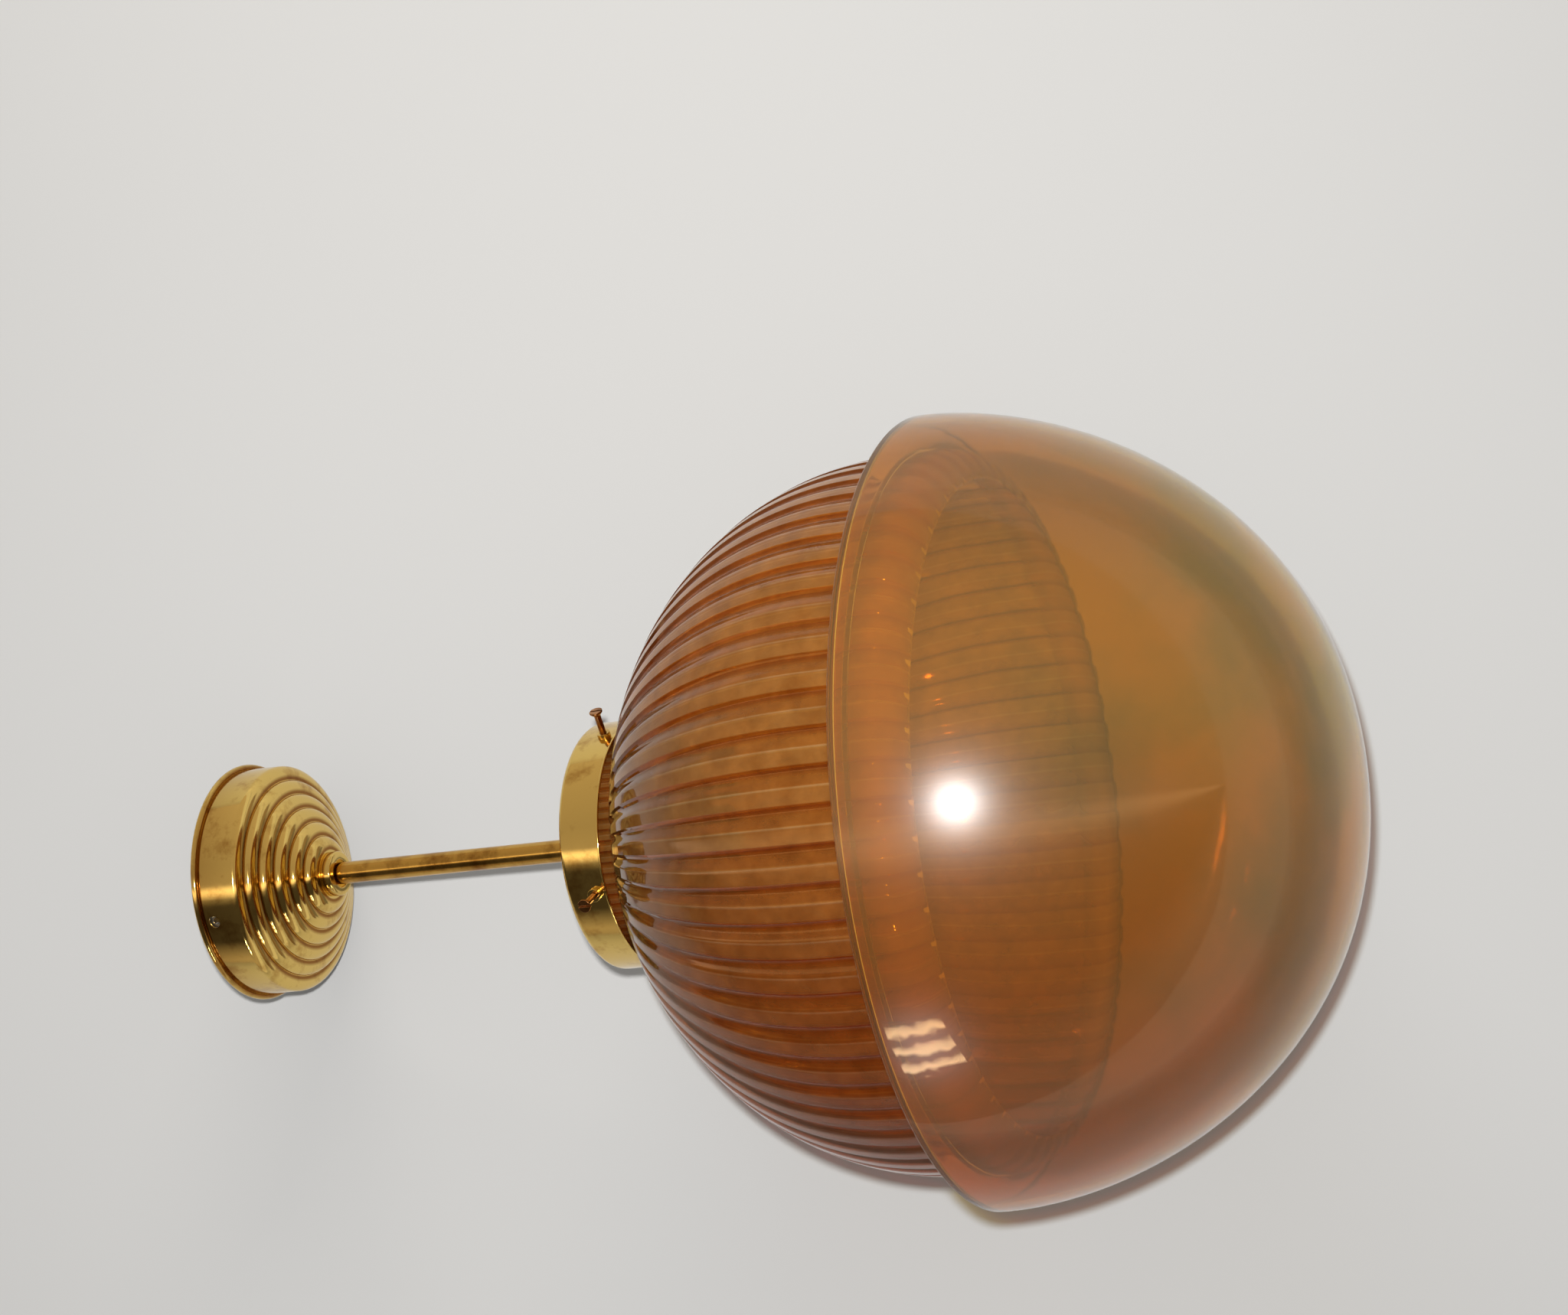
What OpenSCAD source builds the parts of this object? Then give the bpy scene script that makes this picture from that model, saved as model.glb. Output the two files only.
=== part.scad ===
// Ceiling pendant light: a stepped brass rose, a short tube stem, a brass gallery with three
// screws, a fluted amber glass globe that is open at the bottom, and a plain amber bowl round it.
// The origin is the middle of the ceiling face. The light hangs down along -Z.

/* [Ceiling rose] */
// Outside radius of the drum
rose_r = 51.9; // [46:0.1:70]
// Height of the drum's straight wall
rose_drum_h = 19.2; // [14:0.1:30]
// Thickness of the spun sheet
rose_wall = 0.9; // [0.6:0.1:1.5]
// Section radius of the rolled bead at the ceiling
bead_r = 1.5; // [1:0.1:2.5]
// How far the middle of the bead stands outside the drum
bead_out = 1.0; // [0.5:0.1:1.4]
// Number of stepped rings on the face
ring_count = 6; // [3:1:7]
// Radius of the flat hub in the middle of the face
hub_r = 11.1; // [10.2:0.1:14]
// Drop of one ring
ring_drop = 3.6; // [2:0.1:6]
// Share of a ring's width that is rounded over
ring_round = 0.78; // [0.5:0.01:0.9]
// Radius of the two fixing holes in the drum
side_hole_r = 2.75; // [2:0.05:4]
// Distance of the fixing holes below the ceiling
side_hole_drop = 7.9; // [6:0.1:10]
// Compass angle of the visible fixing hole about Z
side_hole_turn = 252; // [0:1:359]

/* [Ceiling bracket] */
// Width of the strap
strap_w = 16; // [14:0.5:20]
// Thickness of the strap
strap_t = 2; // [1.5:0.1:3]
// Height of the turned-down ends
strap_lug_h = 12; // [10:0.5:14]
// Circle of the two ceiling screws
ceiling_pcd = 50.8; // [44:0.1:60]
// Radius of the ceiling screw holes
ceiling_hole_r = 2.25; // [2:0.05:3]
// Radius of the threaded holes in the turned-down ends
lug_hole_r = 1.65; // [1.2:0.05:2]
// Radius of the supply cable hole
cable_hole_r = 4.5; // [3:0.1:5]

/* [Terminal block] */
// Length along the strap
block_l = 24; // [20:0.5:30]
// Width across the strap, along the wires
block_w = 17; // [14:0.5:20]
// Height
block_h = 11; // [9:0.5:14]
// Distance between the two poles
pole_pitch = 12; // [10:0.5:15]

/* [Stem] */
// Outside radius of the tube
stem_r = 5; // [4:0.1:6]
// Radius of the tube's bore
stem_bore_r = 4; // [3:0.1:4.4]
// Drop from the ceiling to the top of the gallery
gallery_drop = 184; // [120:1:400]
// Radius of the round collar below the rose
collar_r = 10.2; // [8:0.1:14]
// Height of the round collar
collar_h = 4.6; // [3:0.1:8]
// Radius of the collar's recess
collar_recess_r = 6.5; // [5.6:0.1:7.5]
// Depth of the collar's recess
collar_recess_d = 2.2; // [1:0.1:2.8]
// Thickness of the hexagon nuts
nut_t = 3; // [2:0.1:5]
// Corner radius of the hexagon nuts
nut_corner_r = 8; // [6.5:0.1:10]
// Thickness of the washers
washer_t = 1; // [0.6:0.1:2]
// Radius of the washers
washer_r = 9.5; // [8:0.1:9.8]

/* [Gallery] */
// Outside radius of the gallery
gallery_r = 54.2; // [46:0.1:60]
// Height of the gallery
gallery_h = 19.6; // [17:0.1:26]
// Thickness of the spun sheet
gallery_wall = 0.9; // [0.6:0.1:1.5]
// Radius of the rounded top corner
gallery_corner_r = 3; // [1.5:0.1:6]
// Section radius of the lip's bead
lip_bead_r = 0.55; // [0.4:0.05:1]
// Height of the screws above the lip
screw_above_lip = 5.6; // [4.5:0.1:8]
// Compass angle of the screw nearest the viewer
screw_near_turn = 249; // [0:1:359]
// Compass angle of the upper screw
screw_upper_turn = 330; // [0:1:359]
// Compass angle of the screw behind
screw_rear_turn = 110; // [0:1:359]
// Radius of the screws' thread
screw_r = 1.45; // [1:0.05:2]
// Length of the screws under the head
screw_len = 16.5; // [14:0.1:22]
// Radius of the screws' heads
screw_head_r = 2.9; // [2.4:0.1:4]
// Height of the screws' heads
screw_head_h = 2.3; // [1.5:0.1:3.5]
// Radius of the bosses round the screws
boss_r = 2.9; // [2.2:0.1:4]
// Height of the bosses
boss_h = 2.2; // [1.5:0.1:4]

/* [Fluted globe] */
// Free space between the plain neck and the gallery's wall
neck_gap = 5.3; // [3:0.1:8]
// Radius of the globe at its belt
globe_r = 151; // [130:1:170]
// Height of the globe's crown above the belt, measured as an ellipse
globe_h = 136; // [110:1:150]
// Drop from the top of the gallery to the belt
globe_drop = 153; // [145:1:165]
// Height of the straight belt
belt_h = 23; // [18:0.5:30]
// How far the open foot curves in from the belt
foot_in = 17; // [8:1:30]
// Height of the turned-in foot
foot_h = 16; // [10:0.5:30]
// Thickness of the glass
glass_wall = 3.5; // [2.5:0.1:5]
// Number of flutes round the globe
flute_count = 64; // [24:1:64]
// Depth of the flutes
flute_depth = 1.5; // [0.5:0.1:1.8]
// Share of a flute's width that is hollow, beside its flat land
flute_share = 0.58; // [0.3:0.01:0.8]
// How far past the neck's radius the flutes reach their full depth
flute_run = 10; // [4:0.5:14]

/* [Bowl] */
// How far the bowl's rim stands out past the globe's belt
bowl_overhang = 15; // [8:0.5:30]
// Depth of the bowl
bowl_depth = 161; // [120:1:200]
// Drop from the globe's belt line to the bowl's rim
bowl_drop = 16; // [12:0.5:17]
// Fullness of the bowl's sides, where 2 is an ellipse
bowl_side_power = 2.2; // [1.8:0.05:3]
// Fullness of the bowl's bottom, where 2 is an ellipse
bowl_bottom_power = 1.76; // [1.5:0.02:2.4]
// Thickness of the cement between the globe and the bowl's rim
cement_t = 0.8; // [0.4:0.1:2]

/* [Lampholder] */
// Radius of the socket, for a 22 mm bayonet lamp cap
socket_r = 11.15; // [11:0.05:11.3]
// Length of the socket
socket_len = 19; // [16:0.5:24]
// Outside radius of the barrel
barrel_r = 13; // [12.5:0.1:14]
// Radius of the barrel's flange
barrel_flange_r = 15.3; // [14.8:0.1:17]
// Radius of the holder cap
holder_cap_r = 16.6; // [16.6:0.1:19]
// Outside radius of the shade ring
shade_ring_r = 19.5; // [18:0.1:24]
// Height of the shade ring
shade_ring_h = 3.5; // [2.5:0.1:5]
// Number of notches round the shade ring
shade_ring_notches = 20; // [8:1:30]
// Radius of the contact plungers
plunger_r = 2; // [1.5:0.1:2.2]
// Distance of each plunger from the middle
plunger_off = 4.9; // [4.4:0.1:5.5]
// Travel of the plungers
plunger_travel = 3; // [2:0.1:3.5]

/* [Wires] */
// Radius of an insulated wire
wire_r = 0.95; // [0.7:0.05:1.2]

/* [Hidden] */
$fn = 96;
// Free space between pieces that move past each other, and beside a press seat
play = 0.3;
// Running fit of a thread or shaft in its hole
fit = 0.06;
// Overshoot of every cut past the face that it opens
cut = 1;

// Heights along the light
face_top = -rose_drum_h;
face_low = face_top - ring_count * ring_drop;
ring_pitch = (rose_r - hub_r) / ring_count;
rose_washer_top = face_low + rose_wall + washer_t;
tag_t = 0.8;
rose_nut_low = rose_washer_top + tag_t;
stem_top = rose_nut_low + nut_t + 5;
gallery_top = -gallery_drop;
gallery_in = gallery_top - gallery_wall;
lip_low = gallery_top - gallery_h;
screw_z = lip_low + screw_above_lip;
neck_r = gallery_r - gallery_wall - neck_gap;
screw_tip_r = neck_r + play;
gallery_nut_low = gallery_in - washer_t - nut_t;
cap_neck_h = 6;
cap_dome_h = 8;
cap_wall = 1.1;
cap_neck_low = gallery_nut_low - cap_neck_h;
cap_dome_low = cap_neck_low - cap_dome_h;
stem_low = cap_neck_low + 0.5;
insulator_top = cap_dome_low - 0.6;
insulator_flange_t = 4;
barrel_top = insulator_top - insulator_flange_t;
insulator_h = 13;
insulator_low = insulator_top - insulator_h;
guide_h = 4;
chamber_low = insulator_low + guide_h;
flange_t = 1;
plunger_out = plunger_travel;
barrel_flange_h = 4;
socket_top = insulator_low - plunger_out - 1.5;
barrel_low = socket_top - socket_len;
barrel_shoulder_t = 1.2;
barrel_shoulder_r = barrel_r + 2.5;
ring_top = socket_top - barrel_shoulder_t - play;
neck_top = gallery_in - play;
belt_z = gallery_top - globe_drop;
belt_low = belt_z - belt_h;
foot_r = globe_r - foot_in;
foot_z = belt_low - foot_h;
foot_sweep = 70;
rim_z = belt_z - bowl_drop;
seat_r = globe_r + cement_t;
bowl_r = globe_r + bowl_overhang;

// Points of an elliptic arc about [x, y], from angle a0 to a1
function arc(x, y, rx, ry, a0, a1, n) =
    [for (i = [0:n]) [x + rx * cos(a0 + (a1 - a0) * i / n), y + ry * sin(a0 + (a1 - a0) * i / n)]];

// Profile of the rose's face, seen as radius and height, with the sheet's thickness taken off
function ring_r(i) = rose_r - i * ring_pitch;
function rose_face(w) =
    [for (i = [0:ring_count - 1])
        each arc(ring_r(i) - w - ring_round * ring_pitch, face_top - i * ring_drop + w,
                 ring_round * ring_pitch, ring_drop, 0, -90, 8)];

// Profile of the globe from the neck to the foot, with the glass's thickness taken off, in n steps
// down the crown and a quarter as many down the foot
function globe_angle(w) = acos((neck_r - w) / (globe_r - w));
function globe_side(w, n) = concat(
    arc(0, belt_z, globe_r - w, globe_h - w, globe_angle(w), 0, n),
    arc(foot_r - w, belt_low, foot_in, foot_h, 0, -foot_sweep, n / 4));

// Profile of the bowl from the rim to the bottom, with the glass's thickness taken off
function bowl_side(w) =
    [for (i = [0:44])
        let (a = 90 * pow(i / 44, 0.85))
            [(bowl_r - w) * pow(cos(a), 2 / bowl_side_power),
             rim_z - (bowl_depth - w) * pow(sin(a), 2 / bowl_bottom_power)]];

function unit(v) = v / norm(v);
function heading(p, i) =
    i == 0 ? unit(p[1] - p[0]) :
    i == len(p) - 1 ? unit(p[i] - p[i - 1]) :
    unit(unit(p[i + 1] - p[i]) + unit(p[i] - p[i - 1]));
function square_to(v, d) = unit(v - (v * d) * d);
function carried(p, i, list) =
    i == len(p) ? list : carried(p, i + 1, concat(list, [square_to(list[i - 1], heading(p, i))]));

// A round wire of radius r that follows the points p
module swept(p, r, sides) {
    across = carried(p, 1, [square_to([0, 1, 0.01], heading(p, 0))]);
    points = [for (i = [0:len(p) - 1], k = [0:sides - 1])
        p[i] + r * (cos(360 * k / sides) * across[i]
                    + sin(360 * k / sides) * cross(heading(p, i), across[i]))];
    sides_faces = [for (i = [0:len(p) - 2], k = [0:sides - 1])
        let (a = i * sides + k, b = i * sides + (k + 1) % sides)
            each [[a, a + sides, b], [b, a + sides, b + sides]]];
    last = (len(p) - 1) * sides;
    polyhedron(points, concat(sides_faces,
        [[for (k = [0:sides - 1]) k], [for (k = [sides - 1:-1:0]) last + k]]));
}

// The rose's inside and the lampholder share one direction, that of the strap
module along_strap() {
    rotate([0, 0, side_hole_turn]) children();
}

module tube(r_out, r_in, z_low, z_high) {
    difference() {
        translate([0, 0, z_low]) cylinder(r = r_out, h = z_high - z_low);
        translate([0, 0, z_low - cut]) cylinder(r = r_in, h = z_high - z_low + 2 * cut);
    }
}

module rose_cup() {
    color("#c79a3c")
    difference() {
        union() {
            rotate_extrude()
                difference() {
                    polygon(concat([[stem_r + fit, 0], [rose_r, 0]], rose_face(0),
                                   [[stem_r + fit, face_low]]));
                    polygon(concat([[0, cut], [rose_r - rose_wall, cut]], rose_face(rose_wall),
                                   [[0, face_low + rose_wall]]));
                }
            rotate_extrude()
                difference() {
                    translate([rose_r + bead_out, -bead_r]) circle(r = bead_r, $fn = 32);
                    translate([0, -3 * bead_r]) square([rose_r - rose_wall / 2, 4 * bead_r]);
                }
        }
        along_strap()
            for (s = [0, 180])
                rotate([0, 0, s])
                    translate([rose_r - 3 * rose_wall, 0, -side_hole_drop])
                        rotate([0, 90, 0]) cylinder(r = side_hole_r, h = 6 * rose_wall);
    }
}

// The strap reaches the drum's wall, less the play at its corners
strap_half = sqrt(pow(rose_r - rose_wall - play, 2) - pow(strap_w / 2, 2));
cable_hole_x = -ceiling_pcd / 2 + ceiling_hole_r + cable_hole_r + 1;
earth_screw_out = 10;
earth_screw_x = ceiling_pcd / 2 + earth_screw_out;
earth_screw_r = 1.5;
earth_head_r = 3.4;
earth_head_h = 2;

module ceiling_bracket() {
    color("#b9b9b4")
    along_strap()
    difference() {
        union() {
            translate([-strap_half, -strap_w / 2, -strap_t]) cube([2 * strap_half, strap_w, strap_t]);
            for (s = [0, 180])
                rotate([0, 0, s])
                    translate([strap_half - strap_t, -strap_w / 2, -strap_lug_h])
                        cube([strap_t, strap_w, strap_lug_h]);
        }
        for (hole = [[-ceiling_pcd / 2, ceiling_hole_r], [ceiling_pcd / 2, ceiling_hole_r],
                     [cable_hole_x, cable_hole_r], [earth_screw_x, earth_screw_r]])
            translate([hole[0], 0, -strap_t - cut]) cylinder(r = hole[1], h = strap_t + 2 * cut);
        for (s = [0, 180])
            rotate([0, 0, s])
                translate([strap_half - strap_t - cut, 0, -side_hole_drop])
                    rotate([0, 90, 0]) cylinder(r = lug_hole_r, h = strap_t + 2 * cut);
        translate([0, 0, -strap_t - cut]) cylinder(r = block_screw_r, h = block_screw_in + cut);
    }
}

// A screw that points up, with its head's underside at z = 0 and its slotted head below
module slotted_screw(r, h, head_r, head_h) {
    difference() {
        union() {
            cylinder(r = r, h = h);
            translate([0, 0, -head_h]) cylinder(r = head_r, h = head_h);
        }
        translate([-head_r - cut, -head_r / 8, -head_h - cut])
            cube([2 * (head_r + cut), head_r / 4, cut + head_h / 2]);
    }
}

module earth_screw() {
    color("#c8a24a")
    along_strap()
        translate([earth_screw_x, 0, -strap_t - 2 * wire_r])
            slotted_screw(earth_screw_r, strap_t + 2 * wire_r - 0.2, earth_head_r, earth_head_h);
}

block_low = -strap_t - block_h;
pole_z = -strap_t - block_h / 2;
sleeve_r = 2.6;
sleeve_bore_r = 1.5;
sleeve_l = block_w - 2;
pole_screw_y = sleeve_l / 2 - 3.2;
pole_screw_r = 1.2;
pole_head_r = 2;
pole_head_h = 1.4;
pole_head_gap = 0.6;
block_screw_r = 1.5;
block_screw_in = 1.4;
block_head_r = 2.8;
block_head_h = 2;
block_web = 4;

module terminal_block() {
    color("#e9e3d2")
    along_strap()
    difference() {
        translate([-block_l / 2, -block_w / 2, block_low]) cube([block_l, block_w, block_h]);
        for (s = [-1, 1])
            translate([s * pole_pitch / 2, 0, pole_z])
                rotate([90, 0, 0]) {
                    cylinder(r = sleeve_r, h = sleeve_l, center = true);
                    cylinder(r = sleeve_bore_r, h = block_w + 2 * cut, center = true);
                }
        for (s = [-1, 1], t = [-1, 1])
            translate([s * pole_pitch / 2, t * pole_screw_y, block_low - cut])
                cylinder(r = pole_head_r + fit, h = block_h / 2 + cut);
        translate([0, 0, block_low - cut]) {
            cylinder(r = block_screw_r + fit, h = block_h + 2 * cut);
            cylinder(r = block_head_r + play, h = block_h - block_web + cut);
        }
    }
}

module terminal_sleeves() {
    color("#c8a24a")
    along_strap()
    for (s = [-1, 1])
        translate([s * pole_pitch / 2, 0, pole_z])
            difference() {
                rotate([90, 0, 0]) cylinder(r = sleeve_r, h = sleeve_l, center = true);
                rotate([90, 0, 0]) cylinder(r = sleeve_bore_r, h = sleeve_l + 2 * cut, center = true);
                for (t = [-1, 1])
                    translate([0, t * pole_screw_y, -sleeve_r - cut])
                        cylinder(r = pole_screw_r, h = sleeve_r + cut);
            }
}

module terminal_screws() {
    color("#d8d8d2")
    along_strap()
    for (s = [-1, 1], t = [-1, 1])
        translate([s * pole_pitch / 2, t * pole_screw_y, pole_z - sleeve_r - pole_head_gap])
            slotted_screw(pole_screw_r, sleeve_r + pole_head_gap - wire_r - 0.1,
                          pole_head_r, pole_head_h);
}

module block_screw() {
    color("#d8d8d2")
    along_strap()
        translate([0, 0, -strap_t - block_web])
            slotted_screw(block_screw_r, block_web + block_screw_in - 0.1, block_head_r, block_head_h);
}

module rose_washer() {
    color("#c8a24a")
    tube(washer_r, stem_r + fit, face_low + rose_wall, rose_washer_top);
}

tag_r = 8.4;
tag_reach = 13.5;
tag_half_w = 2.2;

module earth_tag() {
    color("#c9ccd0")
    along_strap()
    difference() {
        translate([0, 0, rose_washer_top]) {
            cylinder(r = tag_r, h = tag_t);
            translate([0, -tag_half_w, 0]) cube([tag_reach, 2 * tag_half_w, tag_t]);
        }
        translate([0, 0, rose_washer_top - cut]) cylinder(r = stem_r + fit, h = tag_t + 2 * cut);
    }
}

module hex_nut(z_low) {
    difference() {
        translate([0, 0, z_low]) cylinder(r = nut_corner_r, h = nut_t, $fn = 6);
        translate([0, 0, z_low - cut]) cylinder(r = stem_r + fit, h = nut_t + 2 * cut);
    }
}

module rose_nut() {
    color("#c8a24a") hex_nut(rose_nut_low);
}

module stem_collar() {
    edge_round = 0.8;
    color("#c79a3c")
    rotate_extrude()
        polygon(concat([[stem_r + fit, face_low], [collar_r, face_low]],
                       arc(collar_r - edge_round, face_low - collar_h + edge_round,
                           edge_round, edge_round, 0, -90, 6),
                       [[collar_recess_r, face_low - collar_h],
                        [collar_recess_r, face_low - collar_h + collar_recess_d],
                        [stem_r + fit, face_low - collar_h + collar_recess_d]]));
}

module stem_tube() {
    color("#b58a35") tube(stem_r, stem_bore_r, stem_low, stem_top);
}

// Route of one live wire on the side s, in the strap's direction: out of the block, down the stem
// and into the lampholder's terminal
wire_off = stem_bore_r / 2 - 0.55;
function live_route(s) = [
    [s * pole_pitch / 2, -2, pole_z],
    [s * pole_pitch / 2, -block_w / 2, pole_z],
    [s * pole_pitch / 2, -block_w / 2 - 3, pole_z - 0.6],
    [s * (pole_pitch / 2 - 0.4), -block_w / 2 - 4.6, pole_z - 3.2],
    [s * (pole_pitch / 2 - 1.3), -block_w / 2 - 4, pole_z - 7],
    [s * (pole_pitch / 2 - 2.8), -block_w / 2 - 1, (pole_z + stem_top) / 2 - 4],
    [s * (wire_off + 0.5), -3, stem_top + 4],
    [s * wire_off, -0.8, stem_top + 0.5],
    [s * wire_off, 0, stem_top - 4],
    [s * wire_off, 0, stem_low + 3],
    [s * (wire_off + 0.3), 0, stem_low + 1],
    [s * (wire_off + 1.1), 0, stem_low - 0.8],
    [s * (plunger_off - 0.7), 0, stem_low - 2],
    [s * plunger_off, 0, stem_low - 3.6],
    [s * plunger_off, 0, post_top - post_hole_d + wire_room]];

module line_wire() {
    color("#7a3b1d") along_strap() swept(live_route(1), wire_r, 8);
}

module neutral_wire() {
    color("#2b4f8c") along_strap() swept(live_route(-1), wire_r, 8);
}

// The earth wire lies on the tag's tongue and under the head of the earth screw
earth_route = [
    [tag_r + 2, 0, rose_nut_low + wire_r],
    [tag_reach - 0.5, 0, rose_nut_low + wire_r],
    [tag_reach + 2.5, 0, rose_nut_low + 3],
    [tag_reach + 7, 0, -26],
    [tag_reach + 13, 0, -14],
    [earth_screw_x - 8, 0, -6],
    [earth_screw_x - 5, 0, -strap_t - wire_r - 0.4],
    [earth_screw_x - 1.75, 0, -strap_t - wire_r]];

module earth_wire() {
    color("#5f8f3a") along_strap() swept(earth_route, wire_r, 8);
}

// Profile of the gallery, with the sheet's thickness taken off
function gallery_side(w) =
    arc(gallery_r - gallery_corner_r, gallery_top - gallery_corner_r,
        gallery_corner_r - w, gallery_corner_r - w, 90, 0, 8);

module at_screw(turn) {
    rotate([0, 0, turn]) translate([0, 0, screw_z]) rotate([0, 90, 0]) children();
}

module gallery_cup() {
    color("#c79a3c")
    difference() {
        union() {
            rotate_extrude()
                difference() {
                    polygon(concat([[stem_r + fit, gallery_top]], gallery_side(0),
                                   [[gallery_r, lip_low], [stem_r + fit, lip_low]]));
                    polygon(concat([[0, gallery_in]], gallery_side(gallery_wall),
                                   [[gallery_r - gallery_wall, lip_low - cut], [0, lip_low - cut]]));
                }
            rotate_extrude()
                difference() {
                    translate([gallery_r, lip_low + lip_bead_r]) circle(r = lip_bead_r, $fn = 24);
                    translate([0, lip_low - cut]) square([gallery_r - gallery_wall / 2, 4 * cut]);
                }
        }
        for (turn = [screw_near_turn, screw_upper_turn, screw_rear_turn])
            at_screw(turn) cylinder(r = screw_r + fit, h = gallery_r + 2 * cut);
    }
}

module gallery_bosses() {
    color("#c79a3c")
    difference() {
        for (turn = [screw_near_turn, screw_upper_turn, screw_rear_turn])
            at_screw(turn)
                difference() {
                    cylinder(r = boss_r, h = gallery_r + boss_h);
                    cylinder(r = screw_r + fit, h = gallery_r + boss_h + cut);
                }
        translate([0, 0, screw_z - 2 * boss_r]) cylinder(r = gallery_r, h = 4 * boss_r, $fn = 180);
    }
}

// A gallery screw: a blunt tip at the glass, a plain thread and a coned, slotted head
module gallery_screw(turn) {
    tip_h = 0.6;
    cone_h = screw_head_h * 0.65;
    color("#b58a35")
    at_screw(turn)
        translate([0, 0, screw_tip_r])
            difference() {
                rotate_extrude($fn = 48)
                    polygon([[0, 0], [screw_r - tip_h, 0], [screw_r, tip_h], [screw_r, screw_len],
                             [screw_head_r, screw_len + cone_h],
                             [screw_head_r, screw_len + screw_head_h],
                             [0, screw_len + screw_head_h]]);
                translate([-screw_head_r - cut, -screw_head_r / 8, screw_len + screw_head_h / 2])
                    cube([2 * (screw_head_r + cut), screw_head_r / 4, screw_head_h]);
            }
}

module gallery_screw_near() {
    gallery_screw(screw_near_turn);
}

module gallery_screw_upper() {
    gallery_screw(screw_upper_turn);
}

module gallery_screw_rear() {
    gallery_screw(screw_rear_turn);
}

module gallery_washer() {
    color("#c8a24a") tube(washer_r, stem_r + fit, gallery_in - washer_t, gallery_in);
}

module gallery_nut() {
    color("#c8a24a") hex_nut(gallery_nut_low);
}

cap_neck_r = 8.2;
cap_low = barrel_top - barrel_flange_h;

function reversed(list) = [for (i = [len(list) - 1:-1:0]) list[i]];

// Profile of the holder cap's dome and skirt, with the sheet's thickness taken off
function cap_side(w) = concat(
    arc(cap_neck_r, cap_dome_low, holder_cap_r - cap_neck_r - w, cap_dome_h - w, 90, 0, 10),
    [[holder_cap_r - w, cap_low]]);

module holder_cap() {
    color("#c8a24a")
    rotate_extrude()
        polygon(concat([[stem_r + fit, gallery_nut_low], [cap_neck_r, gallery_nut_low]],
                       cap_side(0), reversed(cap_side(cap_wall)),
                       [[stem_r + fit, cap_neck_low - cap_wall]]));
}

module holder_insulator() {
    color("#eee8da")
    along_strap()
    difference() {
        union() {
            translate([0, 0, barrel_top])
                cylinder(r = holder_cap_r - cap_wall - play, h = insulator_flange_t);
            translate([0, 0, insulator_low])
                cylinder(r = socket_r, h = insulator_h - insulator_flange_t);
        }
        for (s = [-1, 1])
            translate([s * plunger_off, 0, insulator_low]) {
                translate([0, 0, -cut]) cylinder(r = plunger_r + fit, h = guide_h + 2 * cut);
                translate([0, 0, guide_h]) cylinder(r = chamber_r, h = insulator_h);
            }
    }
}

chamber_r = plunger_r + 1.2;
post_r = chamber_r + 0.4;
post_h = 5;
post_top = insulator_top + post_h;
post_hole_d = 3;
post_screw_r = 1.1;
post_head_r = 1.9;
post_head_h = 1.3;
post_screw_z = insulator_top + 2.9;
wire_room = 0.2;

// The terminals close the spring chambers and take the wires from above
module holder_terminals() {
    color("#c8a24a")
    along_strap()
    for (s = [-1, 1])
        translate([s * plunger_off, 0, 0])
            difference() {
                translate([0, 0, insulator_top]) cylinder(r = post_r, h = post_h);
                translate([0, 0, post_top - post_hole_d])
                    cylinder(r = wire_r + wire_room, h = post_hole_d + cut);
                translate([0, 0, post_screw_z])
                    rotate([0, s * 90, 0]) cylinder(r = post_screw_r, h = post_r + cut);
            }
}

module holder_terminal_screws() {
    color("#d8d8d2")
    along_strap()
    for (s = [-1, 1])
        translate([s * (plunger_off + post_r), 0, post_screw_z])
            rotate([0, -s * 90, 0])
                slotted_screw(post_screw_r, post_r - wire_r - 0.1 - wire_room,
                              post_head_r, post_head_h);
}

// A contact plunger with a flange that stops it on the guide
module plunger(s) {
    nose = 0.7;
    color("#d2ad56")
    along_strap()
        translate([s * plunger_off, 0, 0])
            rotate_extrude($fn = 48)
                polygon([[0, insulator_low - plunger_out],
                         [plunger_r - nose, insulator_low - plunger_out],
                         [plunger_r, insulator_low - plunger_out + nose], [plunger_r, chamber_low],
                         [chamber_r - 0.1, chamber_low], [chamber_r - 0.1, chamber_low + flange_t],
                         [0, chamber_low + flange_t]]);
}

module plunger_line() {
    plunger(1);
}

module plunger_neutral() {
    plunger(-1);
}

spring_wire_r = 0.3;
spring_turns = 4;
spring_low = chamber_low + flange_t + spring_wire_r;
spring_high = insulator_top - spring_wire_r;
spring_r = chamber_r - 0.5 - spring_wire_r;
spring_steps = 12;

module coil(s) {
    steps = spring_turns * spring_steps;
    route = [for (i = [0:steps])
        [s * plunger_off + spring_r * cos(360 * i / spring_steps),
         spring_r * sin(360 * i / spring_steps),
         spring_low + (spring_high - spring_low) * i / steps]];
    color("#cfcfc8") along_strap() swept(route, spring_wire_r, 6);
}

module spring_line() {
    coil(1);
}

module spring_neutral() {
    coil(-1);
}

slot_w = 2.6;
slot_up = 7;
slot_side = 3.4;

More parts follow.
